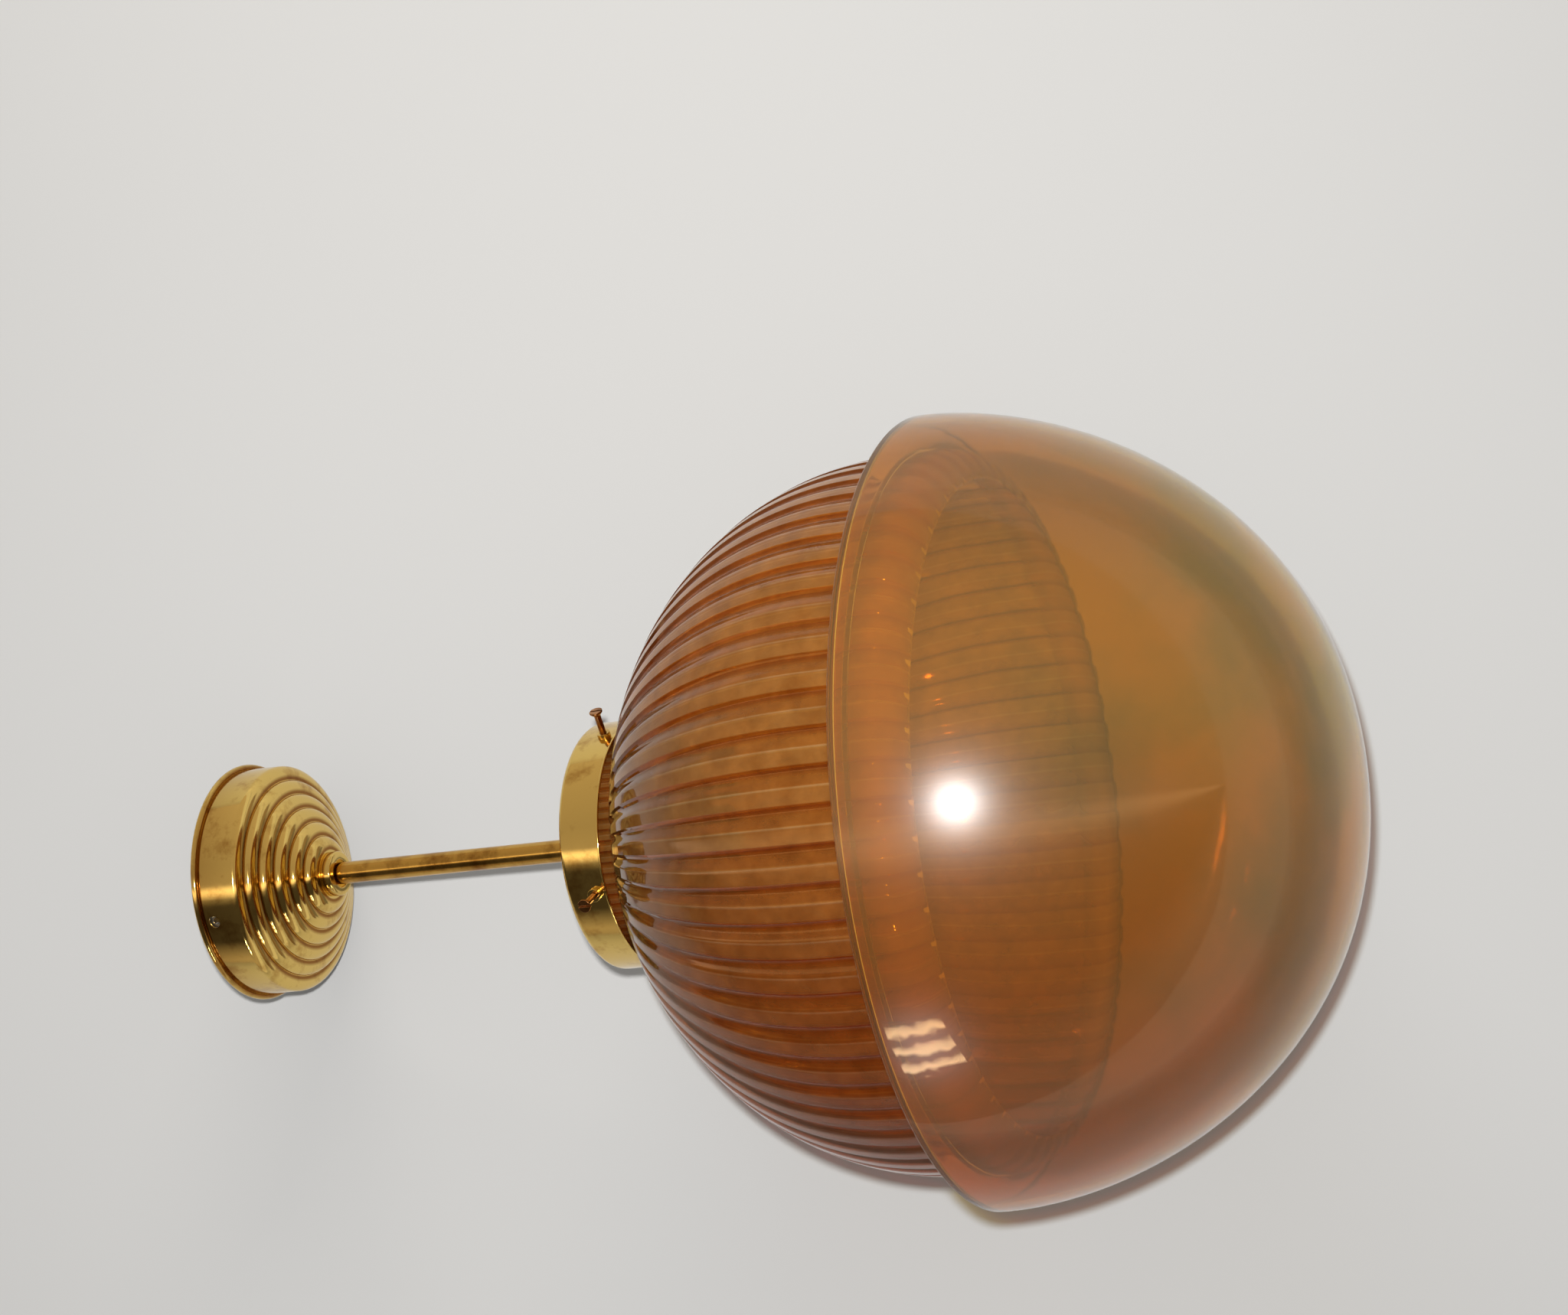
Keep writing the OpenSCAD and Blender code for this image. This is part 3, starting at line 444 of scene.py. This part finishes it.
BLUE_WIRE = wire_sleeve("blue_wire_sleeve", "#2f5590", "#1f3a66")
EARTH_WIRE = wire_sleeve("green_wire_sleeve", "#5c8f3c", "#c2b23a")
CEMENT = clear_cement()
FLUTED_GLASS = fluted_glass()
PLAIN_GLASS = plain_glass()


# Mesh helpers

def arc(x, z, rx, rz, start, end, steps):
    """Points [radius, height] of an elliptic arc, with angles in degrees."""
    turns = [math.radians(start + (end - start) * i / steps) for i in range(steps + 1)]
    return [[x + rx * math.cos(t), z + rz * math.sin(t)] for t in turns]


def new_piece(name, mesh, material):
    """Links an object and gives it its material. A Geometry Nodes tree may set it again."""
    made = bpy.data.objects.new(name, mesh)
    scene.collection.objects.link(made)
    mesh.materials.append(material)
    return made


def smooth_by_angle(mesh, degrees):
    """Smooth faces that stay crisp where they meet at more than this angle."""
    mesh.shade_smooth()
    mesh.set_sharp_from_angle(angle=math.radians(degrees))


def runs_outwards(outline):
    """Whether a loop of [radius, height] points runs the way that turns its faces outwards."""
    return sum(a[0] * b[1] - b[0] * a[1] for a, b in zip(outline, outline[1:] + outline[:1])) > 0


def lathe(name, outline, material, steps=192, crisp=28):
    """A closed turned piece. The outline is a loop of [radius, height] points, with poles at radius 0."""
    pole_r = 1e-6
    loop = outline if runs_outwards(outline) else outline[::-1]
    verts, rings = [], []
    for radius, height in loop:
        count = 1 if radius < pole_r else steps
        rings.append(range(len(verts), len(verts) + count))
        for i in range(count):
            turn = 2 * math.pi * i / steps
            verts.append((radius * math.cos(turn) * MM, radius * math.sin(turn) * MM, height * MM))
    faces = []
    for lower, upper in zip(rings, rings[1:] + rings[:1]):
        if len(lower) == 1 and len(upper) == 1:
            continue
        for i in range(steps):
            j = (i + 1) % steps
            corners = [lower[i % len(lower)], lower[j % len(lower)],
                       upper[j % len(upper)], upper[i % len(upper)]]
            faces.append(list(dict.fromkeys(corners)))
    mesh = bpy.data.meshes.new(name)
    mesh.from_pydata(verts, [], faces)
    smooth_by_angle(mesh, crisp)
    return new_piece(name, mesh, material)


def plain_mesh(piece):
    """Turns the piece's modifiers into its mesh and removes them."""
    seen = piece.evaluated_get(bpy.context.evaluated_depsgraph_get())
    mesh = bpy.data.meshes.new_from_object(seen)
    piece.modifiers.clear()
    piece.data = mesh


def dressed_copy(cad_node, name, material, edge_mm, crisp=30):
    """A copy of a CAD node's mesh with merged faces and softened edges."""
    merge_mm, flat_degrees = 0.002, 0.5
    mesh = bpy.data.meshes.new(name)
    work = bmesh.new()
    work.from_mesh(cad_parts[cad_node].data)
    bmesh.ops.remove_doubles(work, verts=work.verts, dist=merge_mm * MM)
    bmesh.ops.dissolve_limit(work, angle_limit=math.radians(flat_degrees), verts=work.verts,
                             edges=work.edges)
    work.to_mesh(mesh)
    work.free()
    smooth_by_angle(mesh, crisp)
    piece = new_piece(name, mesh, material)
    if edge_mm > 0:
        soften = piece.modifiers.new("soften", "BEVEL")
        soften.width, soften.segments = edge_mm * MM, 2
        soften.limit_method, soften.angle_limit = "ANGLE", math.radians(crisp)
        soften.harden_normals = True
        plain_mesh(piece)
    return piece


def seat(piece, body, cad_node):
    """Hands the finished piece to its body, in place of its CAD node."""
    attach(piece, body)
    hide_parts(cad_node)


# Ceiling rose

def rose_face(inset):
    """The stepped rings, each a quarter round and a small hollow before the next."""
    points = []
    for i in range(RINGS):
        outer, top = rose_r - i * RING_PITCH - inset, face_top - i * RING_DROP + inset
        points += arc(outer - RING_ROUND, top, RING_ROUND, RING_DROP, 0, -90, 10)
    return points


def make_rose():
    edge, drill_reach, crisp = 0.4, 10, 28
    inner_r = rose_r - SHEET_T
    outline = (arc(rose_r + BEAD_OUT, -BEAD_R, BEAD_R, BEAD_R, 150, -125, 16)
               + rose_face(0) + [[stem_r, face_low], [stem_r, face_low + SHEET_T]]
               + rose_face(SHEET_T)[::-1] + [[inner_r, -edge], [inner_r + edge, 0]])
    rose = lathe("spun_rose", outline, ROSE_BRASS, steps=256, crisp=crisp)
    drill = lathe("drill", [[0, -drill_reach], [SIDE_HOLE_R, -drill_reach], [SIDE_HOLE_R, drill_reach],
                            [0, drill_reach]], POLISHED_BRASS, steps=32)
    for turn in (SIDE_HOLE_TURN, SIDE_HOLE_TURN - 180):
        cut = rose.modifiers.new("side_hole", "BOOLEAN")
        cut.object = drill
        angle = math.radians(turn)
        drill.rotation_euler = (0, math.radians(90), angle)
        drill.location = Vector((math.cos(angle), math.sin(angle), 0)) * rose_r * MM
        drill.location.z = -SIDE_HOLE_DROP * MM
        bpy.context.view_layer.update()
        plain_mesh(rose)
    bpy.data.objects.remove(drill)
    smooth_by_angle(rose.data, crisp)
    seat(rose, "metalwork", "rose_cup")


# Stem, and the collar whose recess takes the end of the thread

STEM_FIT = 0.02


def make_collar():
    base, radius, height = high("stem_collar").z, high("stem_collar").x, 4.6
    recess_r, recess_d, corner, edge = 6.5, 2.2, 0.9, 0.3
    foot, bore = base - height, stem_r + STEM_FIT
    outline = ([[bore, base], [radius - edge, base], [radius, base - edge]]
               + arc(radius - corner, foot + corner, corner, corner, 0, -90, 6)
               + arc(recess_r + edge, foot + edge, edge, edge, 270, 180, 4)
               + [[recess_r, foot + recess_d], [bore, foot + recess_d]])
    seat(lathe("stem_collar_ring", outline, POLISHED_BRASS, steps=96), "metalwork",
         "stem_collar")


def make_stem():
    top, foot, bore = high("stem_tube").z, low("stem_tube").z, 4
    edge, bore_edge = 0.3, 0.2
    outline = [[stem_r - edge, top], [stem_r, top - edge], [stem_r, foot + edge], [stem_r - edge, foot],
               [bore + bore_edge, foot], [bore, foot + bore_edge], [bore, top - bore_edge],
               [bore + bore_edge, top]]
    seat(lathe("brass_stem", outline, TUBE_BRASS, steps=96), "metalwork", "stem_tube")


# Gallery

def make_gallery():
    corner, bore = 3, stem_r + STEM_FIT
    inner_corner = corner - SHEET_T
    outline = ([[bore, gallery_top]]
               + arc(gallery_r - corner, gallery_top - corner, corner, corner, 90, 0, 10)
               + arc(gallery_r, lip_low + LIP_BEAD, LIP_BEAD, LIP_BEAD, 90, -180, 12)
               + arc(gallery_r - corner, gallery_top - corner, inner_corner, inner_corner, 0, 90, 8)
               + [[bore, gallery_top - SHEET_T]])
    seat(lathe("spun_gallery", outline, POLISHED_BRASS, steps=256), "metalwork",
         "gallery_cup")
    bosses = dressed_copy("gallery_bosses", "gallery_screw_bosses", POLISHED_BRASS, 0.3)
    seat(bosses, "metalwork", "gallery_bosses")


# Globe

def globe_side(inset):
    """The globe's side from the neck over the belt to the turned-in foot."""
    start = math.degrees(math.acos((neck_r - inset) / (globe_r - inset)))
    foot_h = (BELT_Z - BELT_H - foot_z) / math.sin(math.radians(FOOT_TURN))
    return (arc(0, BELT_Z, globe_r - inset, GLOBE_H - inset, start, 0, 48)
            + arc(FOOT_R - inset, BELT_Z - BELT_H, globe_r - FOOT_R, foot_h, 0, -FOOT_TURN, 8))


def flute_tree():
    """Hollows with one steep side, and flat lands between them, which come to a point near the neck."""
    tree = bpy.data.node_groups.new("Flutes", "GeometryNodeTree")
    face = tree.interface
    face.new_socket("Geometry", in_out="INPUT", socket_type="NodeSocketGeometry")
    for label, value in (("Count", FLUTES), ("Hollow share", HOLLOW), ("Depth", FLUTE_DEPTH * MM),
                         ("Start radius", neck_r * MM), ("Run-out", FLUTE_RUN * MM), ("Skew", FLUTE_SKEW),
                         ("Neck foot", (neck_top - NECK_H) * MM)):
        face.new_socket(label, in_out="INPUT", socket_type="NodeSocketFloat").default_value = value
    face.new_socket("Material", in_out="INPUT", socket_type="NodeSocketMaterial")
    face.new_socket("Geometry", in_out="OUTPUT", socket_type="NodeSocketGeometry")
    given = add(tree, "NodeGroupInput").outputs
    parts = add(tree, PARTS, [add(tree, "GeometryNodeInputPosition")]).outputs

    flute = hollow_share(tree, parts, given["Count"])
    share = add(tree, MATH, [flute, given["Hollow share"]], operation="DIVIDE")
    skewed = add(tree, MATH, [share, given["Skew"]], operation="POWER")
    rest = add(tree, MATH, [1, skewed], operation="SUBTRACT")
    scoop = add(tree, MATH, [add(tree, MATH, [skewed, rest], operation="MULTIPLY"), 4], operation="MULTIPLY")

    out = add(tree, MATH, [from_axis(tree, parts), given["Start radius"]], operation="SUBTRACT")
    run = add(tree, MATH, [out, given["Run-out"]], operation="DIVIDE")
    below_neck = add(tree, MATH, [parts[2], given["Neck foot"]], operation="LESS_THAN")
    reached = add(tree, MATH, [run, below_neck], operation="MAXIMUM")
    lift = add(tree, MATH, [1, reached], operation="SUBTRACT")
    lift = add(tree, MATH, [lift, 0], operation="MAXIMUM")
    sunk = add(tree, MATH, [scoop, lift], operation="SUBTRACT")
    sunk = add(tree, MATH, [sunk, 0], operation="MAXIMUM")

    side = add(tree, "GeometryNodeInputNamedAttribute", {"Name": OUTSIDE}, data_type="FLOAT")
    sunk_outside = add(tree, MATH, [sunk, side], operation="MULTIPLY")
    depth = add(tree, MATH, [sunk_outside, given["Depth"]], operation="MULTIPLY")
    back = add(tree, MATH, [depth, -1], operation="MULTIPLY")
    inward = add(tree, "ShaderNodeVectorMath", {0: add(tree, "GeometryNodeInputNormal"), "Scale": back},
                 operation="SCALE")
    moved = add(tree, "GeometryNodeSetPosition", {"Geometry": given["Geometry"], "Offset": inward})
    real = add(tree, "GeometryNodeRealizeInstances", [moved])
    glazed = add(tree, "GeometryNodeSetMaterial", {"Geometry": real, "Material": given["Material"]})
    add(tree, "NodeGroupOutput", [glazed])
    return tree


def make_globe():
    edge = 0.6
    outside = [[neck_r, neck_top - edge]] + globe_side(0)
    inside = [[neck_r - GLASS_WALL, neck_top - edge]] + globe_side(GLASS_WALL)
    outline = ([[neck_r - edge, neck_top]] + outside + inside[::-1]
               + [[neck_r - GLASS_WALL + edge, neck_top]])
    columns = FLUTES * FLUTE_STEPS
    globe = lathe("fluted_glass_globe", outline, FLUTED_GLASS, steps=columns, crisp=180)
    marks = [1.0 if 1 <= i <= len(outside) else 0.0 for i in range(len(outline))]
    if not runs_outwards(outline):
        marks.reverse()
    mark = globe.data.attributes.new(OUTSIDE, "FLOAT", "POINT")
    mark.data.foreach_set("value", [share for share in marks for _ in range(columns)])
    flutes = globe.modifiers.new("flutes", "NODES")
    flutes.node_group = flute_tree()
    for socket in flutes.node_group.interface.items_tree:
        if socket.in_out == "INPUT" and socket.name == "Material":
            flutes[socket.identifier] = FLUTED_GLASS
    plain_mesh(globe)
    smooth_by_angle(globe.data, 24)
    seat(globe, "glass", "fluted_globe")


# Bowl, and the cement between its turned-in rim and the globe's belt

BOWL_SIDE_POWER, BOWL_BOTTOM_POWER = 2.2, 1.76


def bowl_side(inset, start_depth, steps):
    """The bowl's egg-shaped side from start_depth below the rim down, in steps that get finer."""
    points = []
    for i in range(steps + 1):
        turn = math.radians(90 * (i / steps) ** 0.85)
        radius = (bowl_r - inset) * max(math.cos(turn), 0) ** (2 / BOWL_SIDE_POWER)
        drop = (bowl_depth - inset) * math.sin(turn) ** (2 / BOWL_BOTTOM_POWER)
        if drop > start_depth:
            points.append([radius if i < steps else 0, rim_z - drop])
    return points


def make_bowl():
    edge, lip, seat_edge, seat_foot, steps = 0.9, 1.4, 0.5, 0.4, 72
    outer_start, inner_start = 1.4, 2.9
    outline = (arc(seat_r + seat_edge, rim_z - seat_edge, seat_edge, seat_edge, 180, 90, 3)
               + arc(bowl_r - edge, rim_z - edge, edge, edge, 90, 0, 8)
               + bowl_side(0, outer_start, steps) + bowl_side(GLASS_WALL, inner_start, steps)[::-1]
               + arc(bowl_r - GLASS_WALL - lip, rim_z - 2 * lip, lip, lip, 0, 90, 5)
               + arc(seat_r + seat_foot, rim_z - lip + seat_foot, seat_foot, seat_foot, 270, 180, 3))
    bowl = lathe("plain_glass_bowl", outline, PLAIN_GLASS, steps=256, crisp=40)
    middle = Vector((0, 0, rim_z * MM))
    outward = [float(face.normal.dot(face.center - middle) > 0) for face in bowl.data.polygons]
    bowl.data.attributes.new(OUTSIDE, "FLOAT", "FACE").data.foreach_set("value", outward)
    seat(bowl, "glass", "bowl")


def make_cement():
    gap, inset = 0.1, 0.3
    top, foot = high("cement_ring").z - inset, low("cement_ring").z + inset
    inner, outer = globe_r + gap, seat_r - gap
    outline = [[inner, foot], [outer, foot], [outer, top], [inner, top]]
    seat(lathe("glass_cement_ring", outline, CEMENT, steps=256), "glass", "cement_ring")


# Screws and small parts

def shorten(piece):
    """Gives a coil spring, held at its top, a mesh of its own."""
    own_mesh(piece)


# CAD node, piece, material, slot, width of its softened edges and body. Wires and springs have no edges
SMALL_PARTS = (
    ("gallery_screw_near", "glass_screw_near", SCREW_BRASS, "stem_brass", 0.15, "screw_near"),
    ("gallery_screw_upper", "glass_screw_upper", SCREW_BRASS, "stem_brass", 0.15, "screw_upper"),
    ("gallery_screw_rear", "glass_screw_rear", SCREW_BRASS, "stem_brass", 0.15, "screw_rear"),
    ("ceiling_bracket", "steel_ceiling_strap", ZINC_STEEL, "zinc_steel", 0.3, "metalwork"),
    ("earth_screw", "brass_earth_screw", HOLDER_BRASS, "holder_brass", 0.2, "metalwork"),
    ("terminal_block", "porcelain_block", PORCELAIN, "porcelain", 0.5, "metalwork"),
    ("terminal_sleeves", "block_sleeves", HOLDER_BRASS, "holder_brass", 0.1, "metalwork"),
    ("terminal_screws", "block_terminal_screws", ZINC_STEEL, "zinc_steel", 0.15, "metalwork"),
    ("block_screw", "block_fixing_screw", ZINC_STEEL, "zinc_steel", 0.2, "metalwork"),
    ("rose_washer", "rose_clamp_washer", HOLDER_BRASS, "holder_brass", 0.15, "metalwork"),
    ("earth_tag", "tinned_earth_tag", ZINC_STEEL, "zinc_steel", 0.1, "metalwork"),
    ("rose_nut", "rose_clamp_nut", HOLDER_BRASS, "holder_brass", 0.3, "metalwork"),
    ("gallery_washer", "gallery_clamp_washer", HOLDER_BRASS, "holder_brass", 0.15, "metalwork"),
    ("gallery_nut", "gallery_clamp_nut", HOLDER_BRASS, "holder_brass", 0.3, "metalwork"),
    ("holder_cap", "holder_cap_shell", HOLDER_BRASS, "holder_brass", 0.2, "metalwork"),
    ("holder_insulator", "holder_porcelain", PORCELAIN, "porcelain", 0.3, "metalwork"),
    ("holder_terminals", "holder_terminal_posts", HOLDER_BRASS, "holder_brass", 0.15, "metalwork"),
    ("holder_terminal_screws", "holder_post_screws", ZINC_STEEL, "zinc_steel", 0.1, "metalwork"),
    ("holder_barrel", "holder_barrel_shell", HOLDER_BRASS, "holder_brass", 0.2, "metalwork"),
    ("plunger_line", "contact_plunger_line", HOLDER_BRASS, "holder_brass", 0.1, "plunger_line"),
    ("plunger_neutral", "contact_plunger_neutral", HOLDER_BRASS, "holder_brass", 0.1, "plunger_neutral"),
    ("shade_ring", "shade_ring_thread", HOLDER_BRASS, "holder_brass", 0.2, "shade_ring"),
    ("line_wire", "line_wire_sleeve", BROWN_WIRE, "brown_wire", 0, "metalwork"),
    ("neutral_wire", "neutral_wire_sleeve", BLUE_WIRE, "blue_wire", 0, "metalwork"),
    ("earth_wire", "earth_wire_sleeve", EARTH_WIRE, "earth_wire_green", 0, "metalwork"),
    ("spring_line", "spring_line_coil", SPRING_STEEL, "spring_steel", 0, "metalwork"),
    ("spring_neutral", "spring_neutral_coil", SPRING_STEEL, "spring_steel", 0, "metalwork"))


def make_small_parts():
    for cad_node, name, material, slot, edge, body in SMALL_PARTS:
        piece = dressed_copy(cad_node, name, material, edge, crisp=30 if edge else 60)
        seat(piece, body, cad_node)
        if cad_node.startswith("spring_"):
            shorten(piece)


make_rose()
make_collar()
make_stem()
make_gallery()
make_globe()
make_bowl()
make_cement()
make_small_parts()


# Stage, in metres: a pale sheet behind the light, just clear of the rose's bead and the bowl's rim, and what
# the polished metal and the glass mirror

SHEET_COLOUR, ROOM_TINT = "#e3e2e0", "#ffeeda"
SHEET_SIZE = 3.2
# Distance along the sheet from the rose to the sheet's middle
SHEET_MIDDLE = 0.28
# What polished metal mirrors of the room, by the compass angle from the camera's side towards -X: a pale
# wall, a bright gap, a dark side and a pale wall again
ROOM_TONES = ((-180, 0.62), (-100, 0.62), (-20, 0.46), (0, 0.5), (5, 1.9), (8, 1.6), (14, 0.3), (20, 0.07),
              (58, 0.06), (80, 0.5), (100, 0.3), (180, 0.3))
ROOM_PEAK, ROOM_R = 2.0, 2.0
SLAT_PITCH, WINDOW_GLOW = 0.16, 14
# Share of the sheet's colour that lights the object from all round
AMBIENT = 0.3
STAGE_MIDDLE = Vector((0, 0, -0.27))
ALONG_X = Vector((1, 0, 0))


def square(name, width, height):
    """A flat mesh round its origin."""
    x, y = width / 2, height / 2
    mesh = bpy.data.meshes.new(name)
    mesh.from_pydata([(-x, -y, 0), (x, -y, 0), (x, y, 0), (-x, y, 0)], [], [(0, 1, 2, 3)])
    return mesh


def sheet_material():
    """Pale bed sheet. It fades out towards its edges and isn't seen from behind."""
    fade_start, fade_end = SHEET_SIZE * 0.28, SHEET_SIZE * 0.5
    material, tree, place = new_material("pale_sheet")
    cloth = add(tree, "ShaderNodeBsdfDiffuse", {"Color": colour(SHEET_COLOUR)})
    away = add(tree, "ShaderNodeVectorMath", [place], operation="LENGTH").outputs["Value"]
    fade = add(tree, "ShaderNodeMapRange", {"Value": away, "From Min": fade_start, "From Max": fade_end})
    behind = add(tree, "ShaderNodeNewGeometry").outputs["Backfacing"]
    unseen = add(tree, MATH, [fade, behind], operation="MAXIMUM")
    mixed = add(tree, "ShaderNodeMixShader", [unseen, cloth, add(tree, "ShaderNodeBsdfTransparent")])
    add(tree, MATERIAL_END, {"Surface": mixed})
    return material


def make_sheet():
    clear_mm = 0.3
    bead_r = high("rose_cup").x
    rise = math.atan2(bowl_r - bead_r, -rim_z)
    sheet = new_piece("sheet", square("sheet", SHEET_SIZE, SHEET_SIZE), sheet_material())
    sheet.rotation_euler = (math.radians(90) + rise, 0, 0)
    sheet.location = (Vector((0, bead_r + clear_mm / math.cos(rise), 0)) * MM
                      + Vector((0, math.sin(rise), -math.cos(rise))) * SHEET_MIDDLE)


def room_material():
    """The room that polished metal and glass mirror, as a glow that only mirrored rays see."""
    material, tree, place = new_material("dim_room")
    parts = add(tree, PARTS, [place]).outputs
    towards_minus_x = add(tree, MATH, [parts[0], -1], operation="MULTIPLY")
    towards_camera = add(tree, MATH, [parts[1], -1], operation="MULTIPLY")
    turn = add(tree, MATH, [towards_minus_x, towards_camera], operation="ARCTAN2")
    share = add(tree, MATH, [turn, 0.5 / math.pi, 0.5], operation="MULTIPLY_ADD")
    tone = add(tree, RAMP, [share], stops=[((degrees + 180) / 360, grey(level / ROOM_PEAK))
                                           for degrees, level in ROOM_TONES])
    warm = add(tree, MIX, {"Factor": 1, A: tone, B: colour(ROOM_TINT)}, **MULTIPLIED).outputs[RESULT]
    glow = add(tree, "ShaderNodeEmission", {"Color": warm, "Strength": ROOM_PEAK})
    add(tree, MATERIAL_END, {"Surface": glow})
    return material


def mirrored_only(thing):
    """Keeps a stage piece out of every ray but the mirrored ones."""
    thing.visible_camera = thing.visible_diffuse = thing.visible_shadow = thing.visible_transmission = False


def make_room():
    """Half a dome on the camera's side."""
    rings, columns = 24, 48
    verts, faces = [], []
    for i in range(rings + 1):
        tilt = math.radians(180 * i / rings)
        for j in range(columns + 1):
            turn = math.radians(-180 + 180 * j / columns)
            verts.append((ROOM_R * math.sin(tilt) * math.cos(turn), ROOM_R * math.sin(tilt) * math.sin(turn),
                          ROOM_R * math.cos(tilt)))
    for i in range(rings):
        for j in range(columns):
            a = i * (columns + 1) + j
            faces.append((a, a + 1, a + columns + 2, a + columns + 1))
    mesh = bpy.data.meshes.new("dim_room")
    mesh.from_pydata(verts, [], faces)
    mesh.shade_smooth()
    room = new_piece("dim_room", mesh, room_material())
    room.location = STAGE_MIDDLE
    mirrored_only(room)


def window_material():
    """A bright window behind a slatted blind, whose slats hang unevenly."""
    material, tree, place = new_material("slatted_window")
    parts = add(tree, PARTS, [place]).outputs
    wobble = add(tree, NOISE, {"Vector": place, "Scale": per(120), "Detail": 4})
    slats = add(tree, MATH, [parts[1], 1 / SLAT_PITCH, wobble], operation="MULTIPLY_ADD")
    slat = add(tree, MATH, [slats], operation="FRACT")
    gap = add(tree, RAMP, [slat],
              stops=[(0.2, grey(0.02)), (0.4, WHITE), (0.7, grey(0.6)), (0.9, grey(0.02))])
    glow = add(tree, "ShaderNodeEmission", {"Color": gap, "Strength": WINDOW_GLOW})
    add(tree, MATERIAL_END, {"Surface": glow})
    return material


def make_window(place, width, height):
    window = new_piece("window", square("window", width, height), window_material())
    window.matrix_world = axes_facing(place, STAGE_MIDDLE, ALONG_X)
    window.location = place
    mirrored_only(window)


def make_world():
    """Seen directly, mirrored or through glass, the world has the sheet's colour. It is dimmer elsewhere."""
    world = bpy.data.worlds.new("pale_world")
    scene.world = world
    world.use_nodes = True
    tree = world.node_tree
    tree.nodes.clear()
    seen = add(tree, "ShaderNodeLightPath").outputs
    bent = add(tree, MATH, [seen["Is Glossy Ray"], seen["Is Transmission Ray"]], operation="MAXIMUM")
    direct = add(tree, MATH, [seen["Is Camera Ray"], bent], operation="MAXIMUM")
    unscattered = add(tree, MATH, [seen["Diffuse Depth"], 0.5], operation="LESS_THAN")
    bright = add(tree, MATH, [direct, unscattered], operation="MULTIPLY")
    strength = add(tree, MATH, [bright, 1 - AMBIENT, AMBIENT], operation="MULTIPLY_ADD")
    sky = add(tree, "ShaderNodeBackground", {"Color": colour(SHEET_COLOUR), "Strength": strength})
    add(tree, "ShaderNodeOutputWorld", [sky])


def make_lamp(name, place, size, watts, shade, mirrored):
    """A round lamp. One that isn't mirrored isn't seen through glass either."""
    data = bpy.data.lights.new(name, "AREA")
    data.shape, data.size = "DISK", size
    data.energy, data.color = watts, colour(shade)[:3]
    lamp = put(data, name, place, STAGE_MIDDLE, ALONG_X)
    lamp.visible_glossy = lamp.visible_transmission = mirrored


make_sheet()
make_room()
make_window(Vector((-1.45, -0.75, -0.20)), width=0.45, height=0.5)
make_world()
make_lamp("flash", Vector((0.045, -1.17, -0.73)), size=0.03, watts=11.5, shade="#ffffff", mirrored=True)
make_lamp("side_window", Vector((1.35, -0.45, -0.35)), size=0.9, watts=7, shade="#fffaf2", mirrored=False)

# Light passes both glass walls four times on its way to the sheet and back
scene.cycles.caustics_reflective = scene.cycles.caustics_refractive = False
scene.cycles.max_bounces = 16
scene.cycles.transmission_bounces = 14
scene.cycles.transparent_max_bounces = 16
